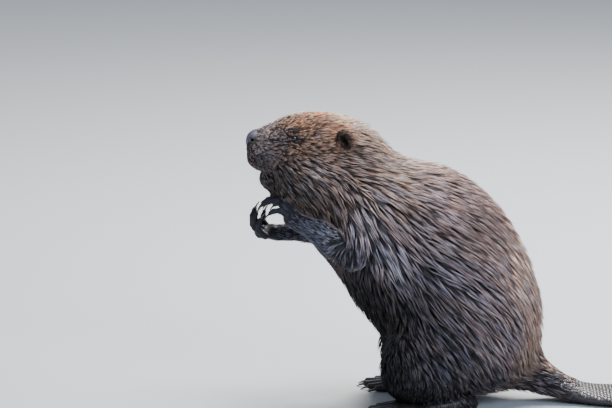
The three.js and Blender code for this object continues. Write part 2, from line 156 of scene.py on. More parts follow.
hand = {
    "upperArm": [(22, 20), (26, 22), (24, 20)],
    "forearm": [(24, 20), (24, 19), (18, 15), (12.5, 11.5), (10, 10.5)],
    "palm": [(9, 10), (8, 13.5), (6.4, 15)],
    "palmLength": 25,
    "palmWide": 15,
    "lengths": (15, 12, 8),
    "radii": [(5, 5), (4.6, 4.5), (4.1, 4), (3.2, 3.1)],
    "digits": [  # size, how far along the palm it starts, and how far to the side
        (0.72, 0.5, -0.95),
        (0.95, 0.95, -0.52),
        (1.05, 1, -0.04),
        (1, 0.97, 0.44),
        (0.85, 0.86, 0.86),
    ],
    "fan": 0.16,
    "pads": [(0.25, 0.45), (0.3, -0.5), (0.85, 0.0)],  # on the palm: how far along and to the thumb
    "padSize": 5.5,
    "padLift": 5,
    "coatDepths": ([0, 14, 60, 100], [0.4, 1.2, 4, 6]),  # distances from the wrist, depths there
}
foot = {
    "line": [(48, 58, 10), (10, 65, 9), (-28, 71, 7)],
    "radii": [(13, 14), (11, 18), (7, 25)],
    "turn": 10,
    # of each toe: length, how far to the side it starts, and the way it points, in degrees
    "toes": [(36, -19, -13), (47, -10, -6), (55, 0, 1), (56, 10, 8), (47, 19, 16)],
    "toeRadii": [(7, 6.5), (6, 5.5), (5.5, 5), (4, 4)],
    "toeHeights": (7, 7.5, 5.5, 4.6),
    "webReach": 0.84,
    "webNotch": 0.64,
    "webMiddle": 3.6,
    "webHalf": 1.3,
    "webBox": (np.array([-110.0, 30, -10]), np.array([60.0, 130, 30])),
    "coatDepths": ([6, 50], [2.5, 7.5]),  # heights up the leg, depths there
}
tail = {
    "line": [
        (96, 0, 58),
        (132, 0, 38),
        (166, 0, 22),
        (200, -1, 11),
        (250, -4, 8),
        (310, -9, 7),
        (360, -14, 6.5),
        (398, -19, 6),
    ],
    "radii": [  # half thickness and half width
        *((42, 46), (36, 42), (31, 38), (25.5, 34.5), (20, 31)),
        *((16, 31), (13, 32), (11.5, 37), (10.5, 43), (10, 48)),
        *((9.5, 52), (9.2, 53.5), (9, 54), (8.8, 53.4), (8.5, 52)),
        *((8.2, 49), (8, 44), (7.2, 34), (5.5, 15)),
    ],
    "coatDepths": ([130, 186], [7, 0.3]),  # x, depths there
}
soleHeight = 0.25  # the bare undersides stop just above the floor


def folded(points):
    # the left side laid on the right
    return np.column_stack([points[:, 0], np.abs(points[:, 1]), points[:, 2]])


def unit(v):
    v = np.asarray(v, float)
    return v / np.maximum(np.linalg.norm(v, axis=-1, keepdims=True), 1e-9)


def ellipsoid(p, centre, radii):
    q = (p - np.asarray(centre, np.float32)) / np.asarray(radii, np.float32)
    size = np.sqrt((q * q).sum(1))
    q = q / np.asarray(radii, np.float32)
    slope = np.sqrt((q * q).sum(1))
    return size * (size - 1) / np.maximum(slope, 1e-6)


def join(a, b, reach):
    if a is None or b is None:
        return b if a is None else a
    overlap = np.maximum(reach - np.abs(a - b), 0) / reach
    return np.minimum(a, b) - overlap * overlap * reach / 4


def carve(a, b, reach):
    return a if b is None else -join(-a, b, reach)


def smoothRows(rows, count):
    rows = np.array(rows, float)
    last = len(rows) - 1
    place = np.linspace(0, last, count + 1)
    i = np.minimum(place.astype(int), last - 1)
    f = (place - i)[:, None]
    a, b, c, d = [rows[np.clip(i + k, 0, last)] for k in (-1, 0, 1, 2)]
    return b + 0.5 * f * (c - a + f * (2 * a - 5 * b + 4 * c - d + f * (3 * (b - c) + d - a)))


def evenCurve(points, count):
    # a centripetal curve through the points, in equal steps
    points = np.array(points, float)
    padded = np.vstack([2 * points[0] - points[1], points, 2 * points[-1] - points[-2]])
    dense = []
    for i in range(len(points) - 1):
        p0, p1, p2, p3 = padded[i : i + 4]
        d0, d1, d2 = np.sqrt(np.linalg.norm(np.diff(padded[i : i + 4], axis=0), axis=1))
        t1 = ((p1 - p0) / d0 - (p2 - p0) / (d0 + d1) + (p2 - p1) / d1) * d1
        t2 = ((p2 - p1) / d1 - (p3 - p1) / (d1 + d2) + (p3 - p2) / d2) * d1
        square, cube = 3 * (p2 - p1) - 2 * t1 - t2, 2 * (p1 - p2) + t1 + t2
        for f in np.linspace(0, 1, 24, endpoint=i == len(points) - 2):
            dense.append(p1 + f * t1 + f * f * square + f**3 * cube)
    dense = np.array(dense)
    length = np.concatenate([[0], np.cumsum(np.linalg.norm(np.diff(dense, axis=0), axis=1))])
    at = np.linspace(0, length[-1], count + 1)
    return np.stack([np.interp(at, length, dense[:, k]) for k in range(3)], 1)


def nearestOnLine(rows, x, z):
    # how far along the rows of stations the nearest point lies
    best = np.full(x.shape, 1e12, np.float32)
    place = np.zeros(x.shape, np.float32)
    for i in range(len(rows) - 1):
        ax, az = rows[i, :2]
        ex, ez = rows[i + 1, :2] - rows[i, :2]
        f = np.clip(((x - ax) * ex + (z - az) * ez) / (ex * ex + ez * ez), 0, 1)
        distance = (x - ax - f * ex) ** 2 + (z - az - f * ez) ** 2
        nearer = distance < best
        best[nearer] = distance[nearer]
        place[nearer] = i + f[nearer]
    return place


# x and z where the plans of nearest places start and end, one place to a millimetre
planLow, planHigh = (-260, -20), (440, 410)


def tubePlan(stations, caps):
    rows = smoothRows(stations, 40).astype(np.float32)
    x, z = [np.arange(low, high, dtype=np.float32) for low, high in zip(planLow, planHigh)]
    places = nearestOnLine(rows, *np.meshgrid(x, z, indexing="ij"))
    return {"rows": rows, "caps": caps, "places": places}


def tube(p, plan):
    # middle line in the y = 0 plane, sections of two half ellipses
    rows, places = plan["rows"], plan["places"]
    x, z = p[:, 0], p[:, 2]
    u = np.clip(x - planLow[0], 0, places.shape[0] - 1.01)
    v = np.clip(z - planLow[1], 0, places.shape[1] - 1.01)
    i, j = u.astype(np.int32), v.astype(np.int32)
    f, g = u - i, v - j
    place = (places[i, j] * (1 - f) + places[i + 1, j] * f) * (1 - g)
    place += (places[i, j + 1] * (1 - f) + places[i + 1, j + 1] * f) * g
    index = np.minimum(place.astype(np.int32), len(rows) - 2)
    a, b = rows[index], rows[index + 1]
    step = b[:, :2] - a[:, :2]
    step /= np.sqrt((step * step).sum(1, keepdims=True))
    at = a + (place - index)[:, None] * (b - a)
    dx, dz = x - at[:, 0], z - at[:, 1]
    side = -dx * step[:, 1] + dz * step[:, 0]
    along = dx * step[:, 0] + dz * step[:, 1]
    high = np.where(side > 0, at[:, 2], at[:, 3])
    cap = np.where(along < 0, plan["caps"][0], plan["caps"][1]).astype(np.float32)
    radii = np.stack([high, at[:, 4], cap], 1)
    return ellipsoid(np.stack([side, p[:, 1], along], 1), (0, 0, 0), radii)


def limbPlan(points, radii, across=(0, 1, 0), count=14):
    # a tube of elliptical sections along a line: radii run over it in even steps, (up, across)
    line = evenCurve(points, count)
    forward = unit(np.gradient(line, axis=0))
    up = unit(np.cross(across, forward))
    side = np.cross(forward, up)
    radii = np.array(radii, float)
    place = np.linspace(0, len(radii) - 1, count + 1)
    i = np.minimum(place.astype(int), len(radii) - 2)
    f = place - i
    f = (f * f * (3 - 2 * f))[:, None]
    sizes = radii[i] + f * (radii[i + 1] - radii[i])
    margin = radii.max() + 14
    rows = {"line": line, "axes": [up, side, forward], "sizes": sizes}
    rows = {key: np.asarray(value, np.float32) for key, value in rows.items()}
    return {**rows, "low": line.min(0) - margin, "high": line.max(0) + margin}


def nearBox(p, low, high):
    if (p.max(0) < low).any() or (p.min(0) > high).any():
        return None
    near = ((p > low) & (p < high)).all(1)
    return near if near.any() else None


def limb(p, plan):
    near = nearBox(p, plan["low"], plan["high"])
    if near is None:
        return None
    q = p[near]
    line = plan["line"]
    best = np.full(len(q), 1e12, np.float32)
    index = np.zeros(len(q), np.int32)
    share = np.zeros(len(q), np.float32)
    for i in range(len(line) - 1):
        step = line[i + 1] - line[i]
        offset = q - line[i]
        f = np.clip(offset @ (step / (step @ step)), 0, 1)
        offset -= f[:, None] * step
        distance = np.einsum("ij,ij->i", offset, offset)
        nearer = distance < best
        best[nearer] = distance[nearer]
        index[nearer] = i
        share[nearer] = f[nearer]

    def at(rows):
        return rows[index] + share[:, None] * (rows[index + 1] - rows[index])

    offset = q - at(line)
    size = at(plan["sizes"])
    local = [np.einsum("ij,ij->i", offset, at(axis)) for axis in plan["axes"]]
    cap = size.min(1)
    value = np.full(len(p), farAway, np.float32)
    value[near] = ellipsoid(np.stack(local, 1), (0, 0, 0), np.column_stack([size, cap]))
    return value


def lump(p, centre, radii):
    # a small ellipsoid
    reach = max(radii) + 14
    near = nearBox(p, np.array(centre) - reach, np.array(centre) + reach)
    if near is None:
        return None
    value = np.full(len(p), farAway, np.float32)
    value[near] = ellipsoid(p[near], centre, radii)
    return value


def polygon(p, outline):
    # signed distance in plan
    outline = np.array(outline, float)
    x, y = p[:, 0], p[:, 1]
    best = np.full(len(p), 1e12)
    inside = np.zeros(len(p), bool)
    for (ax, ay), (bx, by) in zip(outline, np.roll(outline, -1, 0)):
        ex, ey = bx - ax, by - ay
        f = np.clip(((x - ax) * ex + (y - ay) * ey) / (ex * ex + ey * ey), 0, 1)
        best = np.minimum(best, (x - ax - f * ex) ** 2 + (y - ay - f * ey) ** 2)
        crosses = (ay > y) != (by > y)
        inside ^= crosses & (x < ax + (y - ay) / (ey if ey else 1e-9) * ex)
    return np.where(inside, -1, 1) * np.sqrt(best)


def turned(degrees):
    x, y, z = [math.radians(d) for d in degrees]
    turnX = np.array([[1, 0, 0], [0, math.cos(x), -math.sin(x)], [0, math.sin(x), math.cos(x)]])
    turnY = np.array([[math.cos(y), 0, math.sin(y)], [0, 1, 0], [-math.sin(y), 0, math.cos(y)]])
    turnZ = np.array([[math.cos(z), -math.sin(z), 0], [math.sin(z), math.cos(z), 0], [0, 0, 1]])
    return turnZ @ turnY @ turnX


def handPlan(arm):
    along = unit(arm["palmAlong"])
    faces = np.array(arm["palmFaces"], float)
    faces = unit(faces - along * (along @ faces))
    thumbward = np.cross(along, faces)
    wrist = np.array(arm["wrist"], float)
    digits = []
    for scale, base, splay in hand["digits"]:
        root = wrist + along * (hand["palmLength"] * base - 3) - thumbward * hand["palmWide"] * splay
        path = [root]
        for degrees, length in zip(arm["curl"], hand["lengths"]):
            angle = math.radians(degrees)
            heading = along * math.cos(angle) + faces * math.sin(angle) - thumbward * hand["fan"] * splay
            path.append(path[-1] + unit(heading) * length * scale)
        digits.append((path, np.array(hand["radii"]) * (0.6 + 0.4 * scale)))
    return {"wrist": wrist, "along": along, "faces": faces, "thumbward": thumbward, "digits": digits}


def toePoint(toe, share):
    length, splay, fan = toe
    turn = math.radians(foot["turn"])
    angle = math.radians(fan + foot["turn"])
    ball = foot["line"][-1]
    return (
        ball[0] + splay * math.sin(turn) - math.cos(angle) * length * share,
        ball[1] + splay * math.cos(turn) + math.sin(angle) * length * share,
    )


def coatDepth(q):
    # how far the skin lies under the coat's tips on head and trunk
    fromEye = np.linalg.norm(q - eyeCentre, axis=1)
    fromEar = np.linalg.norm(q - np.array(ear["centre"]), axis=1)
    deep = np.interp(q[:, 0], *body["coatDepths"])
    deep = deep * (1 - 0.7 * np.exp(-((fromEye / 11) ** 2))) * (1 - 0.5 * np.exp(-((fromEar / 18) ** 2)))
    return deep.astype(np.float32)


headPlan = tubePlan(body["headLine"], body["headCaps"])
torsoPlan = tubePlan(body["torsoLine"], body["torsoCaps"])
jawPlan = limbPlan(body["jawLine"], body["jawRadii"])
tailPlan = limbPlan(tail["line"], tail["radii"], count=26)
solePlan = limbPlan(foot["line"], foot["radii"])
carvedLines = {"nostril": 1.2, "nostrilTail": 1.2, "lipGroove": 1.5, "noseFold": 1.5}  # softness of edge
carvedPlans = [(limbPlan(face[line], face[line + "Radii"]), soft) for line, soft in carvedLines.items()]
toePlans = []
for toe in foot["toes"]:
    path = [(*toePoint(toe, (i - 0.3) / 2.7), z) for i, z in enumerate(foot["toeHeights"])]
    toePlans.append(limbPlan(path, foot["toeRadii"], count=8))
webOutline = [toePoint(foot["toes"][0], -0.2)]
for i, toe in enumerate(foot["toes"]):
    if i:
        a, b = toePoint(foot["toes"][i - 1], foot["webNotch"]), toePoint(toe, foot["webNotch"])
        webOutline.append(((a[0] + b[0]) / 2, (a[1] + b[1]) / 2))
    webOutline.append(toePoint(toe, foot["webReach"]))
webOutline.append(toePoint(foot["toes"][-1], -0.2))


def armPlan(arm):
    plan = handPlan(arm)
    elbow, wrist = np.array(arm["elbow"], float), plan["wrist"]
    toShoulder = unit(np.array(arm["shoulder"]) - elbow)
    toWrist = unit(wrist - np.array(arm["middle"]))
    across = unit(np.cross(toWrist, toShoulder))
    knuckles = wrist + plan["along"] * hand["palmLength"]
    plan["upper"] = limbPlan([arm["shoulder"], arm["elbow"]], hand["upperArm"], across)
    plan["lower"] = limbPlan([arm["elbow"], arm["middle"], wrist + toWrist * 6], hand["forearm"], across)
    plan["palm"] = limbPlan([wrist, knuckles], hand["palm"], plan["thumbward"])
    plan["fingers"] = [limbPlan(*digit, plan["thumbward"], count=9) for digit in plan["digits"]]
    return plan


armPlans = [armPlan(arm) for arm in arms.values()]


def headForm(q):
    value = join(tube(q, headPlan), ellipsoid(q, *body["cheek"]), 16)
    value = join(value, lump(q, *body["whiskerPad"]), 8)
    value = join(value, lump(q, *body["noseTip"]), 8)
    value = join(value, ellipsoid(q, *body["jaw"]), 8)
    return join(value, limb(q, jawPlan), 5)


def faceDetail(value, q):
    value = join(value, lump(q, *face["brow"]), 5)
    value = join(value, lump(q, *face["nostrilWing"]), 4)
    for plan, soft in carvedPlans:
        value = carve(value, limb(q, plan), soft)
    value = join(value, lump(q, eyeCentre, eyeRadii + face["lidThick"]), 4)
    slant = (q - eyeCentre - (0, eyeRadii[1] + 1, 0)) @ turned((0, -face["eyeSlant"], 0))
    return carve(value, lump(slant.astype(np.float32), (0, 0, 0), face["eyeOpening"]), 1.0)


def earForm(q):
    local = ((q - np.array(ear["centre"])) @ turned(ear["turn"])).astype(np.float32)
    outer = lump(local, (0, 0, 0), ear["radii"])
    return outer if outer is None else carve(outer, lump(local, *ear["dish"]), 2)


def hindFootForm(q):
    value = limb(q, solePlan)
    for plan in toePlans:
        value = join(value, limb(q, plan), 3)
    near = nearBox(q, *foot["webBox"])
    if near is None:
        return value
    web = np.full(len(q), farAway, np.float32)
    thick = np.abs(q[near, 2] - foot["webMiddle"]) - foot["webHalf"]
    web[near] = np.maximum(polygon(q[near], webOutline), thick)
    return join(value, web, 2.5)


def armForm(p, plan, share):
    wrist = plan["wrist"]
    fromWrist = np.linalg.norm(p - wrist, axis=1)
    value = join(limb(p, plan["upper"]), limb(p, plan["lower"]), 6)
    if value is not None:
        value = value + np.interp(fromWrist, *hand["coatDepths"]).astype(np.float32) * share
    return join(value, pawForm(p, plan, share), 3)


def pawForm(p, plan, share):
    wrist = plan["wrist"]
    paw = limb(p, plan["palm"])
    if paw is None:
        return None
    for finger, (path, radii) in zip(plan["fingers"], plan["digits"]):
        paw = join(paw, limb(p, finger), 2)
        for k in (1, 2) if share else ():
            knuckle = path[k] - plan["faces"] * 0.8
            paw = join(paw, lump(p, knuckle, (radii[k][0] + 0.3,) * 3), 1.5)
    for along, sideways in hand["pads"] if share else ():
        pad = wrist + plan["along"] * hand["palmLength"] * along + plan["faces"] * hand["padLift"]
        paw = join(paw, lump(p, pad - plan["thumbward"] * 9 * sideways, (hand["padSize"],) * 3), 2)
    return paw + 0.3 * share


def trunkForm(q, share=1):
    torso = join(tube(q, torsoPlan), ellipsoid(q, *body["shoulder"]), 30)
    return join(headForm(q), torso, 24) + coatDepth(q) * share


def legForm(q):
    return join(ellipsoid(q, *body["thigh"]), ellipsoid(q, *body["knee"]), 24)


def beaverForm(p, share):
    # share 1 is the skin, share 0 the tips of the coat
    p = p.astype(np.float32)
    q = folded(p)
    middle, reach = np.array(body["napeHollow"], np.float32)
    value = trunkForm(q, share) + body["napeDepth"] * np.exp(-(((q - middle) / reach) ** 2).sum(1))
    legDepth = np.interp(q[:, 2], *foot["coatDepths"]).astype(np.float32)
    value = join(value, legForm(q) + legDepth * share, 14)
    value = join(value, hindFootForm(q), 5)
    tailForm = limb(p, tailPlan)
    if tailForm is not None:
        tailDepth = np.interp(p[:, 0], *tail["coatDepths"]).astype(np.float32)
        value = join(value, tailForm + tailDepth * share, 16)
    value = join(value, earForm(q), 4)
    for plan in armPlans:
        value = join(value, armForm(p, plan, share), 7)
    if share:
        value = faceDetail(value, q)
    return np.maximum(value, soleHeight * share - p[:, 2]).astype(np.float32)


# the skin: one closed mesh round the form, finer on face, hands and feet
skin = {
    "voxel": 1.5,
    "block": 6,
    "low": (-246, -124, -6),
    "high": (414, 124, 396),
    "adaptivity": 0.02,
    "fineEdge": 1.9,
    "handReach": 42,  # the finer part of each hand, about its knuckles
    "fineZones": [  # centre, reach, longest edge
        ((-228, 8, 340), 26, 1.9),
        (ear["centre"], 17, 1.9),
        (eyeCentre, 14, 1.1),
        ((-232, 13, 349), 9, 1.1),
    ],
    "grooveEdge": 1.1,
}


def spread(work, points, *others):
    # the work is shared between the processor's cores
    parts = np.array_split(points, max(1, len(points) // 40000))
    with ThreadPoolExecutor(4) as pool:
        return np.concatenate(list(pool.map(lambda part: work(part, *others), parts)))


def sampleForm(share, voxel, band):
    # the form on a grid, worked out only near its surface
    low = np.array(skin["low"], float)
    block = skin["block"]
    counts = np.ceil((np.array(skin["high"]) - low) / voxel / block).astype(int)
    coarse = np.stack(np.meshgrid(*[np.arange(n) for n in counts], indexing="ij"), -1).reshape(-1, 3)
    middles = low + (coarse + 0.5) * block * voxel
    rough = spread(beaverForm, middles, share)
    values = np.repeat(np.clip(rough, -farAway, farAway)[:, None], block**3, 1).astype(np.float32)
    inner = np.stack(np.meshgrid(*[np.arange(block)] * 3, indexing="ij"), -1).reshape(-1, 3)
    active = np.abs(rough) < block * voxel * 0.87 + band
    points = (low + (coarse[active][:, None] * block + inner) * voxel).reshape(-1, 3)
    values[active] = spread(beaverForm, points, share).reshape(-1, block**3)
    grid = values.reshape(*counts, block, block, block).transpose(0, 3, 1, 4, 2, 5)
    return np.ascontiguousarray(grid.reshape(counts * block)), low


def slopeOf(points, share):
    # value and slope of the form, from four nearby points
    corners = np.array([(1, 1, 1), (1, -1, -1), (-1, 1, -1), (-1, -1, 1)]) * 0.15
    values = [spread(beaverForm, points + corner, share) for corner in corners]
    slope = sum(value[:, None] * corner for value, corner in zip(values, corners)) / (4 * 0.15**2)
    return sum(values) / 4, slope


def ontoForm(points, share, steps=2):
    for _ in range(steps):
        value, slope = slopeOf(points, share)
        steep = np.maximum((slope * slope).sum(1), 0.15)
        points = points - slope * np.clip(value / steep, -1.5, 1.5)[:, None]
    return points


def fineness(points):
    # the longest edge allowed at each point
    q = folded(points)
    edge = np.full(len(q), 99.0)
    edge[(q[:, 0] < 0) & (q[:, 2] < 17) & (q[:, 1] > 30)] = skin["fineEdge"]  # toes
    for plan in armPlans:
        fromHand = np.linalg.norm(points - plan["wrist"] - plan["along"] * 22, axis=1)
        edge[fromHand < skin["handReach"]] = skin["fineEdge"]
    for centre, reach, longest in skin["fineZones"]:
        edge[np.linalg.norm(q - np.array(centre), axis=1) < reach] = longest
    edge[(q[:, 0] < -226) & (q[:, 1] < 3.5)] = skin["grooveEdge"]  # groove of the lip
    return edge


def turnedBy(rows, steps):
    return np.take_along_axis(rows, (np.arange(3) + steps[:, None]) % 3, axis=1)


def cutLongEdges(points, faces):
    # each edge that is too long gets a point in its middle, and its two faces are divided there
    sides = np.sort(np.stack([faces, np.roll(faces, -1, axis=1)], 2), axis=2).reshape(-1, 2)
    edges, which = np.unique(sides, axis=0, return_inverse=True)
    allowed = fineness(points)[edges].min(1)
    long = np.linalg.norm(points[edges[:, 0]] - points[edges[:, 1]], axis=1) > allowed
    number = np.full(len(edges), -1)
    number[long] = len(points) + np.arange(long.sum())
    points = np.concatenate([points, points[edges[long]].mean(1)])
    middles = number[which].reshape(-1, 3)
    cuts = (middles >= 0).sum(1)
    # corners a, b, c and middles ab, bc, ca are 0 to 5; faces with one cut turn it to ab, and
    # with two to ab and bc
    patterns = {
        1: [(0, 3, 2), (3, 1, 2)],
        2: [(3, 1, 4), (0, 3, 4), (0, 4, 2)],
        3: [(0, 3, 5), (3, 1, 4), (5, 4, 2), (3, 4, 5)],
    }
    divided = [faces[cuts == 0]]
    for count, pattern in patterns.items():
        corners, halves = faces[cuts == count], middles[cuts == count]
        if count < 3:
            turn = (halves >= 0).argmax(1) if count == 1 else (halves < 0).argmax(1) + 1
            corners, halves = turnedBy(corners, turn), turnedBy(halves, turn)
        divided += [np.column_stack([corners, halves])[:, piece] for piece in pattern]
    return points, np.concatenate(divided)


def makeSkinShape():
    voxel = skin["voxel"]
    grid, low = sampleForm(1, voxel, 3)
    field = openvdb.FloatGrid()
    field.background = 3 * voxel
    field.copyFromArray(np.clip(grid, -3 * voxel, 3 * voxel))
    field.gridClass = openvdb.GridClass.LEVEL_SET
    points, triangles, quads = field.convertToPolygons(isovalue=0.0, adaptivity=skin["adaptivity"])
    points = points * voxel + low
    across = np.linalg.norm(points[quads[:, 0]] - points[quads[:, 2]], axis=1)
    other = np.linalg.norm(points[quads[:, 1]] - points[quads[:, 3]], axis=1)
    quads = np.where((across <= other)[:, None], quads, np.roll(quads, -1, axis=1))
    faces = np.concatenate([triangles, quads[:, :3], quads[:, [0, 2, 3]]]).astype(np.int64)
    for _ in range(4):
        points, faces = cutLongEdges(points, faces)
    points = ontoForm(points, 1)
    a, b, c = points[faces].transpose(1, 0, 2)
    outwards = (np.cross(a, b) * c).sum() > 0
    print("skin shape:", len(points), "points,", len(faces), "faces")
    return points, (faces if outwards else faces[:, ::-1]).astype(np.int32)


def smoothStep(x, low, high):
    t = np.clip((x - low) / (high - low), 0, 1)
    return t * t * (3 - 2 * t)


def linearColour(rgb):
    c = np.asarray(rgb, float) / 255
    return np.where(c < 0.04045, c / 12.92, ((c + 0.055) / 1.055) ** 2.4)


tints = {  # root and tip of the hairs, and how wet: 1 draws them into separate locks
    "nose": ((40, 33, 34), (120, 106, 106), 0.3),
    # bridge: its light tips are a painted highlight, for glints on the wet coat of the nose's bridge
    "bridge": ((62, 50, 46), (188, 166, 156), 0.3),
    "muzzle": ((24, 20, 20), (136, 120, 118), 0.5),
    "crown": ((82, 51, 33), (216, 156, 116), 0.2),
    "brow": ((44, 30, 22), (172, 136, 113), 0.5),
    "cheek": ((24, 18, 17), (198, 174, 168), 0.9),
    "jaw": ((12, 11, 11), (112, 102, 99), 0.9),
    "throat": ((9, 7, 7), (98, 84, 79), 1.0),
    "neck": ((17, 13, 12), (180, 150, 137), 1.0),
    # nape: lighter than the rest of the coat, painted light for the light falling from behind
    "nape": ((128, 96, 78), (246, 212, 188), 0.25),
    "ridge": ((56, 41, 34), (180, 146, 132), 0.45),
    # back and shoulder: lighter, bluer tips, partly the coat's own colour and partly painted sheen of the
    # sky light on top
    "back": ((40, 31, 29), (202, 168, 160), 0.7),
    "shoulder": ((17, 15, 19), (240, 226, 240), 1.0),
    "flank": ((12, 11, 13), (156, 140, 146), 1.0),
    "low": ((7, 6, 8), (92, 86, 96), 1.0),
    # rump: lighter than the rest of the coat, painted light for the light falling from behind
    "rump": ((88, 66, 54), (238, 198, 180), 0.45),
    "haunch": ((48, 35, 28), (184, 152, 132), 0.6),
    # belly: near black, partly its own dark wet coat and partly painted shade under the body
    "belly": ((4, 4, 4), (22, 20, 20), 0.9),
    # arm: dark coat with light bluish tips; the bluish lightness is painted sheen of the wet forearm
    "arm": ((35, 35, 41), (140, 141, 157), 0.4),
    "ear": ((30, 21, 16), (138, 106, 86), 0.3),
    "inEar": ((5, 4, 4), (30, 24, 22), 0.3),
    # the folds above and behind the eye: darkened as painted shade in the creases
    "fold": ((10, 8, 7), (50, 39, 34), 0.5),
}
partTints = {"arm": "arm", "ears": "ear", "underEar": "ear", "inEar": "inEar", "shadedFolds": "fold"}
bareTints = {
    "nose": (90, 83, 96),
    # nostril: near black, painted shade of the opening
    "nostril": (8, 6, 7),
    "lids": (5, 4, 4),
    "feet": (46, 42, 44),
    "tail": (58, 54, 54),
    # hands: dark skin tinted bluish purple, partly its own colour and partly painted sheen of the wet skin
    "hands": (31, 30, 38),
}
# how the coat lies at places all over one side of the body, which stands for both:
# place, the way it lies, length, spacing of the tufts, width of a hair, tint
coatGuides = [
    ((-232, 0, 366), (1, 0, 0.5), 4, 2.2, 0.5, "nose"),
    ((-238, 8, 330), (0.4, 0.7, -0.5), 4, 1.9, 0.5, "muzzle"),
    ((-228, 16, 318), (0.6, 0.3, -0.7), 5, 2.0, 0.5, "muzzle"),
    ((-215, 25, 338), (1, 0.3, -0.1), 7, 2.0, 0.55, "muzzle"),
    ((-208, 0, 374), (1, 0, 0.35), 8, 2.3, 0.6, "bridge"),
    ((-212, 16, 356), (1, 0.1, 0.15), 7, 2.3, 0.6, "bridge"),
    ((-198, 28, 352), (1, 0.1, 0.1), 8, 2.4, 0.6, "muzzle"),
    ((-192, 12, 376), (1, 0.1, 0.3), 9, 2.5, 0.65, "brow"),
    ((-178, 34, 342), (1, 0.2, -0.25), 9, 2.5, 0.6, "brow"),
    ((-178, 24, 374), (1, 0.1, 0.25), 10, 2.6, 0.7, "crown"),
    ((-160, 0, 385), (1, 0, 0.05), 13, 2.7, 0.75, "crown"),
    ((-130, 30, 378), (1, 0.1, -0.05), 14, 2.8, 0.75, "crown"),
    ((-110, 0, 376), (1, 0, -0.25), 17, 2.9, 0.8, "nape"),
    ((-140, 48, 345), (1, 0.1, -0.1), 14, 2.8, 0.8, "brow"),
    ((-155, 46, 318), (0.9, 0.2, -0.42), 18, 3.1, 0.9, "cheek"),
    ((-185, 36, 305), (0.8, 0.2, -0.55), 12, 2.7, 0.8, "jaw"),
    ((-160, 42, 288), (0.7, 0, -0.7), 20, 3.2, 0.9, "throat"),
    ((-200, 20, 290), (0.55, 0, -0.8), 10, 2.7, 0.7, "jaw"),
    ((-180, 0, 262), (0.8, 0, -0.6), 16, 3.2, 0.9, "throat"),
    ((-140, 20, 250), (0.6, 0, -0.8), 24, 3.8, 1.0, "throat"),
    ((-95, 52, 325), (0.95, 0, -0.25), 23, 3.3, 0.9, "neck"),
    ((-110, 62, 288), (0.62, 0, -0.78), 29, 3.9, 1.1, "neck"),
    ((-122, 58, 252), (0.5, 0, -0.87), 30, 4.0, 1.1, "throat"),
    ((-70, 0, 350), (0.92, 0, -0.3), 25, 3.5, 0.9, "nape"),
    ((-60, 48, 324), (0.88, 0, -0.45), 30, 3.9, 1.0, "nape"),
    ((-96, 74, 262), (0.5, 0, -0.85), 33, 4.1, 1.1, "shoulder"),
    ((-60, 85, 268), (0.62, 0, -0.78), 36, 4.3, 1.15, "neck"),
    ((-66, 92, 218), (0.4, 0, -0.9), 36, 4.4, 1.15, "shoulder"),
    ((0, 0, 318), (0.9, 0, -0.4), 30, 3.9, 1.0, "ridge"),
    ((0, 60, 290), (0.88, 0, -0.48), 34, 4.2, 1.1, "back"),
    ((60, 0, 290), (0.82, 0, -0.57), 32, 4.1, 1.0, "ridge"),
    ((60, 60, 260), (0.82, 0, -0.57), 35, 4.3, 1.1, "back"),
    ((0, 95, 210), (0.82, 0, -0.57), 38, 4.4, 1.15, "flank"),
    ((50, 98, 170), (0.78, 0, -0.63), 38, 4.4, 1.15, "flank"),
    ((10, 104, 130), (0.66, 0, -0.75), 36, 4.4, 1.15, "low"),
    ((120, 0, 220), (0.5, 0, -0.87), 33, 4.2, 1.0, "rump"),
    ((120, 60, 190), (0.55, 0, -0.84), 35, 4.3, 1.1, "rump"),
    ((146, 0, 130), (0.1, 0, -1), 32, 4.2, 1.0, "rump"),
    ((135, 55, 90), (0.25, 0, -0.97), 32, 4.3, 1.1, "haunch"),
    ((90, 92, 110), (0.6, 0, -0.8), 35, 4.4, 1.15, "flank"),
    ((80, 88, 50), (0.5, 0, -0.85), 28, 4.3, 1.15, "low"),
    ((0, 108, 80), (0.5, 0, -0.86), 30, 4.3, 1.1, "low"),
    ((-30, 98, 175), (0.62, 0, -0.78), 36, 4.4, 1.15, "low"),
    ((-50, 85, 70), (0.3, 0.1, -0.95), 22, 4.0, 1.0, "belly"),
    ((-20, 90, 30), (-0.3, 0, -0.9), 11, 3.4, 0.9, "belly"),
    ((-96, 76, 226), (0.0, 0, -1), 26, 4.0, 1.1, "low"),
    ((-104, 72, 190), (-0.35, 0, -0.93), 24, 4.2, 1.1, "belly"),
    ((-84, 82, 155), (0.4, 0.1, -0.95), 28, 4.3, 1.1, "belly"),
    ((-50, 90, 120), (0.4, 0.1, -0.95), 28, 4.3, 1.1, "belly"),
    ((-90, 40, 160), (0.3, 0.1, -0.95), 26, 4.4, 1.15, "belly"),
    ((-60, 0, 110), (0.3, 0, -0.95), 24, 4.6, 1.15, "belly"),
    ((-110, 0, 215), (0.4, 0, -0.9), 24, 4.4, 1.15, "belly"),
    ((0, 0, 20), (0.9, 0, -0.2), 14, 4.6, 1.1, "belly"),
    ((110, 0, 24), (1, 0, -0.1), 14, 4.2, 1.1, "belly"),
    ((150, 0, 60), (0.9, 0, -0.4), 19, 3.8, 1.0, "haunch"),
    ((150, 34, 35), (0.95, 0, -0.25), 17, 3.7, 1.0, "low"),
]
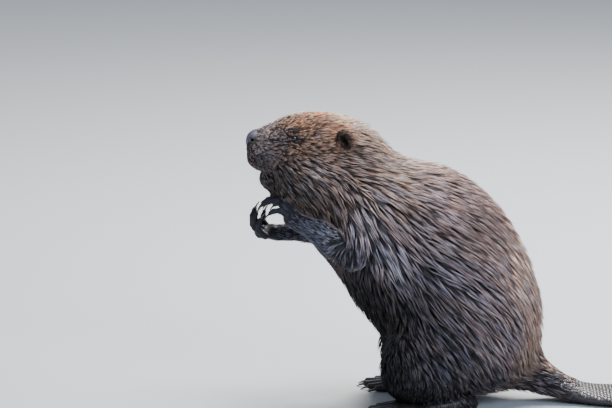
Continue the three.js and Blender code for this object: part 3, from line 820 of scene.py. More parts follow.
coat = {
    "voxel": 3.0,  # of the two grids that lead the hairs
    "band": 16,
    "least": 1.2,  # depth of the thinnest coat
    "lowest": 0.3,  # hairs stop above the floor
    "fly": 0.06,  # share of loose tufts that stand out, and how many more where it is dry
    "dryFly": 0.3,
    "hairs": 6,  # to a tuft
    "leaders": 0.33,  # share of tufts that lead a lock, and how far the rest are drawn in, dry and wet
    "draw": (0.1, 0.7),
    "gather": (0.45, 0.92),  # how far the hairs of a tuft come together at its tip, dry and wet
    "spread": (0.85, 0.31),  # of a tuft's roots, in spacings, dry and wet
    # the darkening of the low tufts is partly the underfur's own tone and partly painted shade under the
    # locks
    "under": 0.4,  # share of tufts that lie low and dark, and how dark they are, dry and wet
    "underTone": (0.78, 0.22),
    "underReach": 0.55,
    "underLength": 0.8,
    "reach": (0.95, 0.09),  # how near the coat's tips a tuft ends, and how much that varies
    "reachLimits": (0.6, 1.12),
    "stray": 8,  # degrees
    "drift": (7, 22),  # degrees the lie wanders, and over what distance
    "rootDepth": 0.5,
    "earLift": 0.35,
    "keepsLie": 0.6,
    "steps": (0, 0.22, 0.46, 0.72, 1.0),  # nodes along a tuft
    "rings": ((0, 0.6), (0.52, 1.0)),  # two sections of a hair: how far along, and how thick
    "flat": 0.62,  # the ridge of a hair, in widths
    "cut": (0.8, 1.06),  # share of the tuft's length
    "thin": (0.6, 1.0),
    "ringTint": 0.6,  # how near the tip's tint the second section is
    "tones": (0.16, 0.14, 0.34),  # how much the light of tufts, locks and hairs varies
    "toneDrift": (0.15, 30),
    "hues": (0.055, 0.07),  # how much the warmth of locks and hairs varies
    "pieces": 8,
    "patch": 0.003,  # of a tuft in OFBake
    "seed": 11,
}
# corners of a hair: three round each of its sections, then the tip
hairFaces = [(0, 2, 1), (0, 1, 4), (0, 4, 3), (1, 2, 5), (1, 5, 4), (2, 0, 3), (2, 3, 5)]
hairFaces = np.array([*hairFaces, (3, 4, 6), (4, 5, 6), (5, 3, 6)])
hairPatch = [(-0.5, -0.5), (0.5, -0.5), (0, -0.5), (-0.4, 0.1), (0.4, 0.1), (0, 0.1), (0, 0.5)]
hairPatch = np.array(hairPatch) * coat["patch"]

guidePlaces = np.array([guide[0] for guide in coatGuides], np.float32)
guideLie = np.array([unit(guide[1]) for guide in coatGuides], np.float32)
guideSizes = np.array([guide[2:5] for guide in coatGuides], np.float32)
guideRoots = np.array([linearColour(tints[guide[5]][0]) for guide in coatGuides], np.float32)
guideTips = np.array([linearColour(tints[guide[5]][1]) for guide in coatGuides], np.float32)
guideWet = np.array([tints[guide[5]][2] for guide in coatGuides], np.float32)


def guidesAt(points):
    # weights of the guides at each point
    q = folded(points).astype(np.float32)
    weights = np.empty((len(q), len(guidePlaces)), np.float32)
    for k, place in enumerate(guidePlaces):
        offset = q - place
        weights[:, k] = 1 / (np.einsum("ij,ij->i", offset, offset) + 60) ** 2
    return weights / weights.sum(1, keepdims=True)


def tintsAt(points):
    # the tints run into one another more softly than the lie
    offsets = folded(points).astype(np.float32)[:, None] - guidePlaces
    softness = 20 + (0.55 * guideSizes[:, 0]) ** 2
    weights = 1 / ((offsets * offsets).sum(2) + softness) ** 1.6
    return weights / weights.sum(1, keepdims=True)


def armShares(points, plan):
    # how much each point belongs to the arm, and to its bare hand
    points = points.astype(np.float32)
    whole = spread(lambda part: pieceValue(armForm(part, plan, 1), part), points)
    paw = spread(lambda part: pieceValue(pawForm(part, plan, 1), part), points)
    trunk = spread(trunkForm, folded(points).astype(np.float32))
    lower = plan["lower"]["line"].astype(float)
    along = unit(plan["wrist"] - lower[0])
    down = ((points - lower[0]) @ along) / ((plan["wrist"] - lower[0]) @ along)
    arm = smoothStep(trunk - whole, 0, 8) * smoothStep(down, 0.0, 0.4)
    past = (points - plan["wrist"]) @ plan["along"]
    onHand = smoothStep(trunk - paw, 0, 2) * (1 - smoothStep(paw, 1.5, 3)) * smoothStep(past, -9, 5)
    return np.maximum(arm, onHand), onHand


def pieceValue(value, part):
    return np.full(len(part), farAway, np.float32) if value is None else value


zones = {  # centre, radii, and how many radii out each is whole and is gone
    "nose": ((-234, 4, 350), (15, 17, 13), 0.85, 1.1),
    "nostril": ((-230, 15, 349), (5.2, 4.6, 4), 0.6, 1.0),
    "lip": ((-240, 0, 326), (7, 8, 18), 0.7, 1.1),
    "lids": (eyeCentre, (6.6, 9, 5.4), 0.85, 1.1),
    "overEye": ((-178, 29, 365), (8.5, 9, 5.5), 0.6, 1.2),
    "behindEye": ((-169, 33, 353.5), (5, 7, 2.6), 0.6, 1.2),
    "ears": (ear["centre"], (14, 11, 15), 0.8, 1.1),
    "underEar": ((-106, 52, 343), (9, 12, 6), 0.6, 1.2),
    "inEar": ((-114, 53, 355), (8.4, 7, 9.4), 0.75, 1.05),
    "beforeEar": ((-128, 46, 356), (13, 12, 15), 0.5, 1.1),
}


def zoneShare(q, centre, radii, whole, gone):
    return 1 - smoothStep(np.linalg.norm((q - np.array(centre)) / radii, axis=1), whole, gone)


def regions(points):
    # masks of what is bare, and of arms, ears and tail
    q = folded(points)
    masks = {name: zoneShare(q, *zone) for name, zone in zones.items()}
    pad = q.copy()
    pad[:, 1] *= np.interp(q[:, 2], [335, 343, 350], [2.4, 1.5, 1])  # the nose narrows to the lip
    masks["nose"] = zoneShare(pad, *zones["nose"])
    masks["underEar"] *= 0.8
    # the folds above and behind the eye, where painted shade darkens coat and skin
    masks["shadedFolds"] = np.maximum(masks["overEye"] * 0.9, masks["behindEye"])
    onFoot = (q[:, 2] < 24) * (q[:, 1] > 30) * (q[:, 0] < 40)
    masks["feet"] = smoothStep(spread(legForm, q), 2, 9) * onFoot
    masks["tail"] = smoothStep(points[:, 0], 170, 186)
    shares = [armShares(points, plan) for plan in armPlans]
    masks["arm"], masks["hands"] = np.max(shares, axis=0)
    bare = [masks[part] for part in ("nose", "lids", "feet", "tail", "hands")]
    masks["bare"] = np.max([*bare, masks["lip"] * 0.8], axis=0)
    return masks


waves = np.random.default_rng(3).normal(size=(3, 6, 3))


def mottle(points, size, part=0):
    # slow, smooth variation about 0
    phases = (points / size) @ waves[part].T + np.arange(6)
    return np.sin(phases).sum(1) / 3.5


class FormGrid:
    # the form and its slope, read quickly from a grid
    def __init__(self, share):
        self.values, self.low = sampleForm(share, coat["voxel"], coat["band"])

    def at(self, points):
        place = (points - self.low) / coat["voxel"]
        place = np.clip(place, 0, np.array(self.values.shape) - 1.001)
        i = place.astype(np.int32)
        f = (place - i).astype(np.float32)
        x, y, z = i.T
        fx, fy, fz = f.T
        v = self.values
        a, b = v[x, y, z], v[x + 1, y, z]
        c, d = v[x, y + 1, z], v[x + 1, y + 1, z]
        e, g = v[x, y, z + 1], v[x + 1, y, z + 1]
        h, k = v[x, y + 1, z + 1], v[x + 1, y + 1, z + 1]
        low, high = a + fx * (b - a), c + fx * (d - c)
        lowUp, highUp = e + fx * (g - e), h + fx * (k - h)
        front, back = low + fy * (high - low), lowUp + fy * (highUp - lowUp)
        slopeX = ((b - a) * (1 - fy) + (d - c) * fy) * (1 - fz) + ((g - e) * (1 - fy) + (k - h) * fy) * fz
        slopeY = (high - low) * (1 - fz) + (highUp - lowUp) * fz
        slope = np.stack([slopeX, slopeY, back - front], 1) / coat["voxel"]
        return front + fz * (back - front), slope


def acrossPart(vectors, normals):
    return unit(vectors - (vectors * normals).sum(1, keepdims=True) * normals)


def scatter(points, faces, perArea, rng):
    # places on the faces, so many to a square millimetre, evenly spread
    a, b, c = points[faces[:, 0]], points[faces[:, 1]], points[faces[:, 2]]
    area = np.linalg.norm(np.cross(b - a, c - a), axis=1) / 2
    total = np.concatenate([[0], np.cumsum(area * perArea[faces].mean(1))])
    count = int(total[-1])
    at = (np.arange(count) + rng.random(count)) * total[-1] / count
    face = np.clip(np.searchsorted(total, at, side="right") - 1, 0, len(faces) - 1)
    u, v = rng.random((2, count))
    over = u + v > 1
    u[over], v[over] = 1 - u[over], 1 - v[over]
    return a[face] + u[:, None] * (b - a)[face] + v[:, None] * (c - a)[face]


def lieAt(points, normals, onArms):
    # the way the coat lies there, along the surface
    lie = guidesAt(points) @ guideLie
    lie[:, 1] *= np.sign(points[:, 1])
    for plan, share in zip(armPlans, onArms):
        toWrist = unit(plan["wrist"] - plan["lower"]["line"][0].astype(float))
        lie = lie * (1 - share[:, None]) + toWrist * share[:, None]
    return acrossPart(lie, normals)


# the unwrap of the skin's own shape: trunk and head unrolled about this line (x, z), limbs apart
unwrapLine = np.array(
    [(-240, 335), (-170, 330), (-100, 300), (-40, 225), (10, 160), (45, 90), (120, 60), (200, 20), (405, 8)]
)


def unrolled(points):
    rows = np.column_stack([unwrapLine, np.zeros(len(unwrapLine))])
    place = nearestOnLine(rows, points[:, 0], points[:, 2])
    index = np.minimum(place.astype(int), len(unwrapLine) - 2)
    ahead = unwrapLine[index + 1] - unwrapLine[index]
    step = unit(ahead)
    offset = points[:, ::2] - (unwrapLine[index] + (place - index)[:, None] * ahead)
    angle = np.arctan2(points[:, 1], offset[:, 0] * step[:, 1] - offset[:, 1] * step[:, 0])
    angle = angle / (2 * math.pi) + 0.5
    return np.column_stack([0.01 + 0.98 * place / (len(unwrapLine) - 1), 0.01 + 0.66 * angle])


def unrolledAll(points):
    uv = unrolled(points)
    q = folded(points)
    onLeg = spread(legForm, q) < spread(tube, q, torsoPlan)
    limbs = []
    for side in (-1, 1):
        onSide = (points[:, 1] < 0) if side < 0 else (points[:, 1] >= 0)
        limbs.append((onLeg & onSide, np.array([[-30, side * 66, 110], [-30, side * 66, 10]], float)))
    for plan in armPlans:
        ends = np.array([plan["lower"]["line"][0], plan["wrist"]], float)
        limbs.append((armShares(points, plan)[0] > 0.5, ends))
    for k, (mask, ends) in enumerate(limbs):
        along = unit(ends[1] - ends[0])
        side = unit(np.cross(along, (1, 0.2, 0)))
        offset = points[mask] - ends[0]
        down = np.clip(offset @ along / np.linalg.norm(ends[1] - ends[0]), -0.5, 1.6)
        angle = np.arctan2(offset @ np.cross(along, side), offset @ side) / (2 * math.pi) + 0.5
        uv[mask] = np.column_stack([0.01 + 0.25 * k + 0.22 * (down + 0.5) / 2.1, 0.7 + 0.28 * angle])
    return uv


def between(pair, share):
    return pair[0] + (pair[1] - pair[0]) * share


def plantTufts(points, faces, rng):
    # where the tufts stand
    masks = regions(points)
    spacing = (guidesAt(points) @ guideSizes)[:, 1]
    spacing = spacing * (1 - 0.5 * masks["ears"]) * (1 - 0.42 * masks["arm"])
    perArea = (1 - smoothStep(masks["bare"], 0.3, 0.9)) / spacing**2
    perArea *= points[:, 2] > 4
    return scatter(points, faces, perArea, rng)


def layTufts(tufts, rng):
    # the middle line of each tuft, from just under the skin to the coat's tips
    roots, masks, wet, count = tufts["roots"], tufts["masks"], tufts["wet"], len(tufts["roots"])
    inner, outer = FormGrid(1), FormGrid(0)
    outer.values = np.minimum(outer.values, inner.values - coat["least"])
    normals = unit(inner.at(roots)[1])
    onArms = [armShares(roots, plan)[0] for plan in armPlans]
    lie = lieAt(roots, normals, onArms)
    fromEar = roots - ear["centre"]
    fromEar[:, 1] = roots[:, 1] - np.sign(roots[:, 1]) * ear["centre"][1]
    onEar = masks["ears"][:, None]
    lie = acrossPart(lie + (unit(fromEar) + (0.3, 0, 0.2)) * onEar * 1.5, normals)
    lie = unit(lie + normals * onEar * coat["earLift"])
    under = rng.random(count) < coat["under"]
    length = tufts["length"] * np.where(under, coat["underLength"], 1)
    drift, driftSize = coat["drift"]
    stray = np.radians(rng.normal(0, coat["stray"], count) + drift * mottle(roots, driftSize))
    side = np.cross(normals, lie)
    lie = lie * np.cos(stray)[:, None] + side * np.sin(stray)[:, None]
    steps = coat["steps"]
    reach = np.clip(rng.normal(*coat["reach"], count), *coat["reachLimits"])
    reach = reach * np.where(under, coat["underReach"], 1)
    loose = (rng.random(count) < coat["fly"] + coat["dryFly"] * (1 - wet)) & ~under
    reach = np.where(loose, reach + 0.6 * rng.random(count), reach)
    hold = 1 - np.maximum(0.85 * masks["ears"], 0.65 * loose)[:, None]
    nodes = [roots - normals * coat["rootDepth"]]
    frames = [(normals, np.cross(normals, lie))]
    here = roots
    for a, b in zip(steps, steps[1:]):
        here = here + lie * (length * (b - a))[:, None]
        rise = (reach * b**0.8)[:, None]
        for _ in range(2):
            innerValue, innerSlope = inner.at(here)
            outerValue, outerSlope = outer.at(here)
            value = innerValue[:, None] * (1 - rise) + outerValue[:, None] * rise
            slope = innerSlope * (1 - rise) + outerSlope * rise
            steep = np.maximum((slope * slope).sum(1, keepdims=True), 0.2)
            here = here - np.clip(value / steep, -6, 6) * slope * hold
        normal = unit(slope)
        follow = coat["keepsLie"] * lie + (1 - coat["keepsLie"]) * lieAt(here, normal, onArms)
        follow = acrossPart(follow, normal)
        lie = unit(lie + (follow - lie) * hold)
        nodes.append(here)
        frames.append((normal, np.cross(normal, lie)))
    normals, sides = [np.stack(rows, 1) for rows in zip(*frames)]
    tufts.update(length=length, under=under, loose=loose)
    tufts.update(nodes=np.stack(nodes, 1), normals=normals, sides=sides)


def drawIntoLocks(tufts, rng):
    # where it is wet, tufts are drawn together into locks, each led by one of them
    roots, under, loose, nodes = [tufts[key] for key in ("roots", "under", "loose", "nodes")]
    leaders = np.flatnonzero((rng.random(len(roots)) < coat["leaders"]) & ~under & ~loose)
    places = kdtree.KDTree(len(leaders))
    for number, leader in enumerate(leaders):
        places.insert(roots[leader], number)
    places.balance()
    lead = leaders[[places.find(root)[1] for root in roots]]
    normals = tufts["normals"][:, 0]
    fits = np.linalg.norm(roots[lead] - roots, axis=1) < 3 * tufts["spacing"]
    fits &= (normals[lead] * normals).sum(1) > 0.6
    draw = between(coat["draw"], tufts["wet"])
    draw = draw * fits * np.where(under, 0.15, np.where(loose, 0.3, 1)) * smoothStep(tufts["length"], 9, 24)
    nodes += (nodes[lead] - nodes) * (draw[:, None] * np.array(coat["steps"]) ** 1.2)[..., None]
    tufts["lead"] = lead


def tintParts(colours, masks, parts, end):
    for part in parts:
        colours += (linearColour(tints[partTints[part]][end]) - colours) * masks[part][:, None]


def makeHairs(tufts, rng):
    # the hairs of each tuft, closing on its tip
    wet, hairs, count = tufts["wet"], coat["hairs"], len(tufts["roots"])
    steps = np.array(coat["steps"])
    spin = rng.random((count, hairs)) * 2 * math.pi + np.arange(hairs) * 2.4
    pairs = coat["spread"], coat["gather"]
    apart, gather = [np.where(tufts["under"], pair[0], between(pair, wet)) for pair in pairs]
    away = np.sqrt(rng.random((count, hairs))) * (apart * tufts["spacing"])[:, None]
    acrossOffset, upOffset = away * np.cos(spin), away * np.sin(spin) * 0.5
    backOffset = away * np.sin(spin)
    cut = rng.uniform(*coat["cut"], (count, hairs))
    thick = tufts["width"][:, None] * rng.uniform(*coat["thin"], (count, hairs))
    lean = rng.normal(0, 0.8, (count, hairs)) * (1.1 - wet[:, None])
    tuft = np.arange(count)[:, None]
    corners = []
    for ring, share in [*coat["rings"], (1.0, 0)]:
        at = ring * cut
        k = np.clip(np.searchsorted(steps, at, side="right") - 1, 0, len(steps) - 2)
        f = ((at - steps[k]) / (steps[k + 1] - steps[k]))[..., None]
        rows = [tufts[key] for key in ("nodes", "normals", "sides")]
        middle, normal, across = [row[tuft, k] * (1 - f) + row[tuft, k + 1] * f for row in rows]
        forward = np.cross(across, normal)
        closing = 1 - gather[:, None] * at**1.2
        middle = middle + across * (acrossOffset * closing + lean * at)[..., None]
        middle = middle + forward * (backOffset * (1 - at))[..., None]
        middle = middle + normal * (upOffset * closing * at)[..., None]
        half = (thick * share / 2)[..., None]
        if share:
            ridge = middle + normal * half * 2 * coat["flat"]
            corners += [middle - across * half, middle + across * half, ridge]
        else:
            corners.append(middle)
    verts = np.stack(corners, 2)
    verts[..., 2] = np.maximum(verts[..., 2], coat["lowest"])
    return verts


def tintHairs(tufts, rng):
    # dark at the root, light at the tip
    roots, masks, lead, hairs = tufts["roots"], tufts["masks"], tufts["lead"], coat["hairs"]
    count = len(roots)
    weights = spread(tintsAt, roots)
    low, high = weights @ guideRoots, weights @ guideTips
    tintParts(low, masks, partTints, 0)
    tintParts(high, masks, partTints, 1)
    tuftTone, lockTone, hairTone = coat["tones"]
    drift, driftSize = coat["toneDrift"]
    tone = tuftTone * rng.normal(size=(count, 1)) + drift * mottle(roots, driftSize, 1)[:, None]
    tone = np.exp(tone + lockTone * rng.normal(size=(count, 1))[lead])
    # low tufts darker: partly their own tone, partly painted shade beneath the locks
    tone = tone * np.where(tufts["under"], between(coat["underTone"], tufts["wet"]), 1)[:, None]
    tone = tone * np.exp(hairTone * rng.normal(size=(count, hairs)) + 0.03)
    lockHue, hairHue = coat["hues"]
    hue = lockHue * rng.normal(size=(count, 1))[lead]
    hue = hue + hairHue * rng.normal(size=(count, hairs)) + 0.01
    warm = np.exp(hue[..., None] * np.array([1, 0, -1.1]))
    shades = []
    for share in (0, coat["ringTint"], 1):
        shades.append((low + (high - low) * share)[:, None, :] * tone[..., None] * warm)
    return np.clip(np.stack([shades[ring] for ring in (0, 0, 0, 1, 1, 1, 2)], 2), 0, 1)


def makeCoat(points, faces):
    rng = np.random.default_rng(coat["seed"])
    roots = plantTufts(points, faces, rng)
    masks = regions(roots)
    weights = guidesAt(roots)
    length, spacing, width = (weights @ guideSizes).T
    length = length * (1 - 0.5 * masks["ears"]) * (1 - 0.66 * masks["arm"]) * (1 - 0.5 * masks["beforeEar"])
    length *= 1 - 0.5 * np.maximum(masks["nose"], masks["lids"])
    length *= 1 - 0.45 * np.exp(-(((folded(roots) - eyeCentre) ** 2).sum(1)) / 150)
    length *= rng.uniform(0.8, 1.3, len(roots))
    width = width * (1 - 0.45 * masks["ears"]) * (1 - 0.5 * masks["arm"])
    wet = np.clip(weights @ guideWet, 0, 1)
    tufts = {"roots": roots, "masks": masks, "wet": wet}
    tufts.update(length=length, spacing=spacing, width=width)
    layTufts(tufts, rng)
    drawIntoLocks(tufts, rng)
    hairs = makeHairs(tufts, rng)
    colours = tintHairs(tufts, rng)
    print("coat:", len(roots), "tufts,", len(roots) * coat["hairs"], "hairs")
    return hairs, colours, unrolledAll(roots)


def fillMesh(name, points, faces):
    mesh = bpy.data.meshes.new(name)
    mesh.vertices.add(len(points))
    mesh.vertices.foreach_set("co", np.ascontiguousarray(points, np.float32).ravel())
    mesh.loops.add(faces.size)
    mesh.loops.foreach_set("vertex_index", np.ascontiguousarray(faces, np.int32).ravel())
    mesh.polygons.add(len(faces))
    mesh.polygons.foreach_set("loop_start", np.arange(len(faces), dtype=np.int32) * faces.shape[1])
    mesh.polygons.foreach_set("use_smooth", np.ones(len(faces), bool))
    mesh.update(calc_edges=True)
    return mesh


def paint(mesh, name, colours):
    layer = mesh.color_attributes.new(name, "FLOAT_COLOR", "POINT")
    rgba = np.column_stack([colours, np.ones(len(colours))])
    layer.data.foreach_set("color", np.ascontiguousarray(rgba, np.float32).ravel())


def store(mesh, name, kind, values):
    key = "vector" if kind == "FLOAT_VECTOR" else "value"
    layer = mesh.attributes.new(name, kind, "POINT")
    layer.data.foreach_set(key, values.astype(np.float32).ravel())


def addPiece(mesh, slot, *materials):
    for material in materials:
        mesh.materials.append(material)
    piece = bpy.data.objects.new(mesh.name, mesh)
    bpy.context.scene.collection.objects.link(piece)
    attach(piece, "root")
    return piece


class Wire:
    # a socket that takes Python's + - * /
    def __init__(self, nodes, socket):
        self.nodes, self.socket = nodes, socket

    def beside(self, name):
        # another socket of the same node
        return Wire(self.nodes, self.socket.node.outputs[name])

    def __add__(self, other):
        return self.nodes.sum("ADD", self, other)

    def __sub__(self, other):
        return self.nodes.sum("SUBTRACT", self, other)

    def __rsub__(self, other):
        return self.nodes.sum("SUBTRACT", other, self)

    def __mul__(self, other):
        return self.nodes.sum("MULTIPLY", self, other)

    def __truediv__(self, other):
        return self.nodes.sum("DIVIDE", self, other)

    def __rtruediv__(self, other):
        return self.nodes.sum("DIVIDE", other, self)

    __radd__ = __add__
    __rmul__ = __mul__


class Nodes:
    # a node tree, and what adds nodes to it
    def __init__(self, tree):
        self.tree = tree

    def add(self, kind, settings=None, values=None, output=0):
        node = self.tree.nodes.new(kind)
        for key, value in (settings or {}).items():
            setattr(node, key, value)
        for key, value in (values or {}).items():
            self.put(node.inputs[key], value)
        return Wire(self, node.outputs[output])

    def put(self, socket, value):
        if isinstance(value, Wire):
            self.tree.links.new(value.socket, socket)
        else:
            socket.default_value = value

    def sum(self, kind, a, b=0.0):
        return self.add("ShaderNodeMath", {"operation": kind}, {0: a, 1: b})


class Sheet(Nodes):
    # a material
    def __init__(self, name):
        self.material = bpy.data.materials.new(name)
        self.material.use_nodes = True
        super().__init__(self.material.node_tree)
        self.shader = self.tree.nodes["Principled BSDF"]

    def finish(self, **values):
        for key, value in values.items():
            self.put(self.shader.inputs[key.replace("_", " ")], value)
        return self.material

    def mix(self, factor, a, b):
        return self.add("ShaderNodeMix", {"data_type": "RGBA"}, {0: factor, 6: a, 7: b}, 2)

    def attribute(self, name, output="Color"):
        return self.add("ShaderNodeAttribute", {"attribute_name": name}, output=output)

    def place(self):
        return self.add("ShaderNodeTexCoord", output="Object")

    def noise(self, size, detail):
        values = {"Vector": self.place(), "Scale": 1 / size, "Detail": detail}
        return self.add("ShaderNodeTexNoise", values=values)

    def bump(self, height, strength, distance):
        values = {"Strength": strength, "Distance": distance, "Height": height}
        return self.add("ShaderNodeBump", values=values)


class Geometry(Nodes):
    # geometry nodes with named inputs
    def __init__(self, name, inputs):
        super().__init__(bpy.data.node_groups.new(name, "GeometryNodeTree"))
        self.inputs, self.keys = inputs, {}
        kinds = {"Geometry": "NodeSocketGeometry", "Skin": "NodeSocketObject", "Seed": "NodeSocketInt"}
        addSocket = self.tree.interface.new_socket
        for label in ("Geometry", *inputs):
            kind = kinds.get(label, "NodeSocketFloat")
            self.keys[label] = addSocket(label, in_out="INPUT", socket_type=kind).identifier
        addSocket("Geometry", in_out="OUTPUT", socket_type=kinds["Geometry"])
        self.source = self.tree.nodes.new("NodeGroupInput")

    def given(self, label):
        return Wire(self, self.source.outputs[label])

    def vector(self, x, y, z):
        return self.add("ShaderNodeCombineXYZ", values={"X": x, "Y": y, "Z": z})

    def store(self, geometry, name, kind, value):
        values = {"Geometry": geometry, "Name": name, "Value": value}
        return self.add("GeometryNodeStoreNamedAttribute", {"data_type": kind}, values)

    def stored(self, name, kind):
        return self.add("GeometryNodeInputNamedAttribute", {"data_type": kind}, {"Name": name})

    def instances(self, points, instance, upwards, size):
        # one at each point, its Z along a stored direction
        up = {"Vector": self.stored(upwards, "FLOAT_VECTOR")}
        turn = self.add("FunctionNodeAlignRotationToVector", {"axis": "Z"}, up)
        values = {"Points": points, "Instance": instance, "Rotation": turn, "Scale": size}
        return self.add("GeometryNodeInstanceOnPoints", values=values)

    def makeMesh(self, name, instances, material, mesh):
        # ends the tree, runs it on the mesh and gives a plain mesh back
        ended = self.add("GeometryNodeRealizeInstances", values={"Geometry": instances})
        ended = self.add("GeometryNodeSetShadeSmooth", values={"Geometry": ended})
        values = {"Geometry": ended, "Material": material}
        ended = self.add("GeometryNodeSetMaterial", values=values)
        self.put(self.tree.nodes.new("NodeGroupOutput").inputs[0], ended)
        holder = bpy.data.objects.new(name, mesh)
        bpy.context.scene.collection.objects.link(holder)
        modifier = holder.modifiers.new(name, "NODES")
        modifier.node_group = self.tree
        for label, value in self.inputs.items():
            modifier[self.keys[label]] = value
        found = holder.evaluated_get(bpy.context.evaluated_depsgraph_get())
        result = bpy.data.meshes.new_from_object(found)
        bpy.data.objects.remove(holder)
        result.name = name
        return result


def colour(rgb):
    return (*[float(c) for c in linearColour(rgb)], 1)


# the skin piece
def makeSkinMaterial():
    sheet = Sheet("skin")
    bare = sheet.attribute("bareSkin", "Fac")
    values = {"Vector": sheet.place(), "Scale": 800.0}
    pores = sheet.add("ShaderNodeTexVoronoi", {"feature": "SMOOTH_F1"}, values)
    mottled = sheet.noise(0.006, 4)
    tint = sheet.mix(mottled * 0.35, sheet.attribute("skinColour"), (0.015, 0.014, 0.016, 1))
    return sheet.finish(
        # bare skin is darkened towards the hollows between its pebbles, where the bump sinks: painted shade
        Base_Color=sheet.mix(bare * pores * 0.7, tint, (0.006, 0.005, 0.006, 1)),
        Roughness=0.75 - bare * 0.41 + mottled * 0.1,
        Normal=sheet.bump(mottled * 0.7 - pores * (bare * 0.8 + 0.6), 0.7, 0.0006),
        Coat_Weight=bare * 0.3,
        Coat_Roughness=0.3,
        Specular_IOR_Level=0.2,
    )


def makeSkinPiece(points, faces):
    masks = regions(points)
    colours = spread(tintsAt, points) @ guideRoots
    tintParts(colours, masks, ("arm", "ears", "inEar", "shadedFolds"), 0)
    for part, rgb in bareTints.items():
        colours += (linearColour(rgb) - colours) * masks[part][:, None]
    mesh = fillMesh("skin", toScene(points), faces)
    paint(mesh, "skinColour", colours)
    glossy = masks["bare"] * (1 - masks["lids"]) * (1 - 0.75 * masks["hands"])
    store(mesh, "bareSkin", "FLOAT", glossy)
    piece = addPiece(mesh, "bare_skin", makeSkinMaterial())
    apart = ("eye_", "fore_claw", "hind_claw")
    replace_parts(piece, *[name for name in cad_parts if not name.startswith(apart)])
    print("skin done")
    return piece


# the coat's pieces
def makeCoatMaterial():
    sheet = Sheet("damp coat")
    fine = sheet.noise(0.004, 3)
    tint = sheet.mix(fine * 0.5, sheet.attribute("coatColour"), (0.02, 0.016, 0.015, 1))
    return sheet.finish(Base_Color=tint, Roughness=0.39, Specular_IOR_Level=0.33)


def makeCoatPieces(points, faces):
    verts, colours, uvRoot = makeCoat(points, faces)
    material = makeCoatMaterial()
    order = np.argsort(uvRoot[:, 0], kind="stable")
    for number, part in enumerate(np.array_split(order, coat["pieces"]), 1):
        hairs = verts[part].reshape(-1, len(hairPatch), 3)
        corners = np.arange(len(hairs))[:, None, None] * len(hairPatch) + hairFaces
        mesh = fillMesh(f"coat_{number}", toScene(hairs.reshape(-1, 3)), corners.reshape(-1, 3))
        paint(mesh, "coatColour", colours[part].reshape(-1, 3))
        uv = np.repeat(uvRoot[part], coat["hairs"], 0)[:, None, :] + hairPatch
        layer = mesh.uv_layers.new(name="OFBake")
        layer.uv.foreach_set("vector", uv[:, hairFaces.ravel()].astype(np.float32).ravel())
        addPiece(mesh, "coat", material)
        print("coat piece", number, len(mesh.polygons), "faces")


# eyes and claws
def meshFrom(work, name):
    mesh = bpy.data.meshes.new(name)
    work.to_mesh(mesh)
    work.free()
    mesh.polygons.foreach_set("use_smooth", np.ones(len(mesh.polygons), bool))
    return mesh


def makeEyes():
    sheet = Sheet("wet eye")
    # near black with a navy tint, the navy is painted reflection of the bluish sky
    dark = (0.0015, 0.003, 0.009, 1)
    material = sheet.finish(Base_Color=dark, Roughness=0.04, Specular_IOR_Level=0.5)
    for side in ("left", "right"):
        low, high = [np.array(corner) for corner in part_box("eye_" + side)]
        work = bmesh.new()
        bmesh.ops.create_uvsphere(work, u_segments=40, v_segments=24, radius=1)
        for vertex in work.verts:
            vertex.co = Vector((low + high) / 2 + np.array(vertex.co) * (high - low) / 2)
        mesh = meshFrom(work, "eyeball_" + side)
        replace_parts(addPiece(mesh, "eye", material), "eye_" + side)
    print("eyes done")


def makeClaws():
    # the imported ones, made smooth
    sheet = Sheet("claw")
    tint = sheet.mix(sheet.noise(0.002, 3), colour((46, 38, 33)), colour((92, 76, 62)))
    material = sheet.finish(Base_Color=tint, Roughness=0.35)
    for paw in ("fore_claw_left", "fore_claw_right", "hind_claw_left", "hind_claw_right"):
        packed = [f"{paw}_{number}" for number in range(1, 6)]
        work = bmesh.new()
        for claw in packed:
            work.from_mesh(bpy.data.objects[claw].data)
        bmesh.ops.remove_doubles(work, verts=work.verts, dist=1e-5)
        piece = addPiece(meshFrom(work, paw.replace("claw", "claws")), "claw", material)
        smooth = piece.modifiers.new("smooth", "SUBSURF")
        smooth.levels = smooth.render_levels = 2
        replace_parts(piece, *packed)
    print("claws done")


# scales of the tail: rows of bevelled plates laid on its upper side
tailScales = {
    "Row pitch": 0.0043,
    "Across pitch": 0.0062,
    "Height": 0.00055,
    "Seed": 4,
    "start": (172, -8),  # x where the rows start and y of their middle
    "end": 404,
    "halfWidth": 58,
    "corners": 8,
    "taper": 0.8,
    "overlap": (0.58, 0.54),  # radii of a plate, in pitches
    "sizes": (0.85, 1.1),
    "steepest": 0.5,  # least upward part of the skin's direction where a plate is laid
}


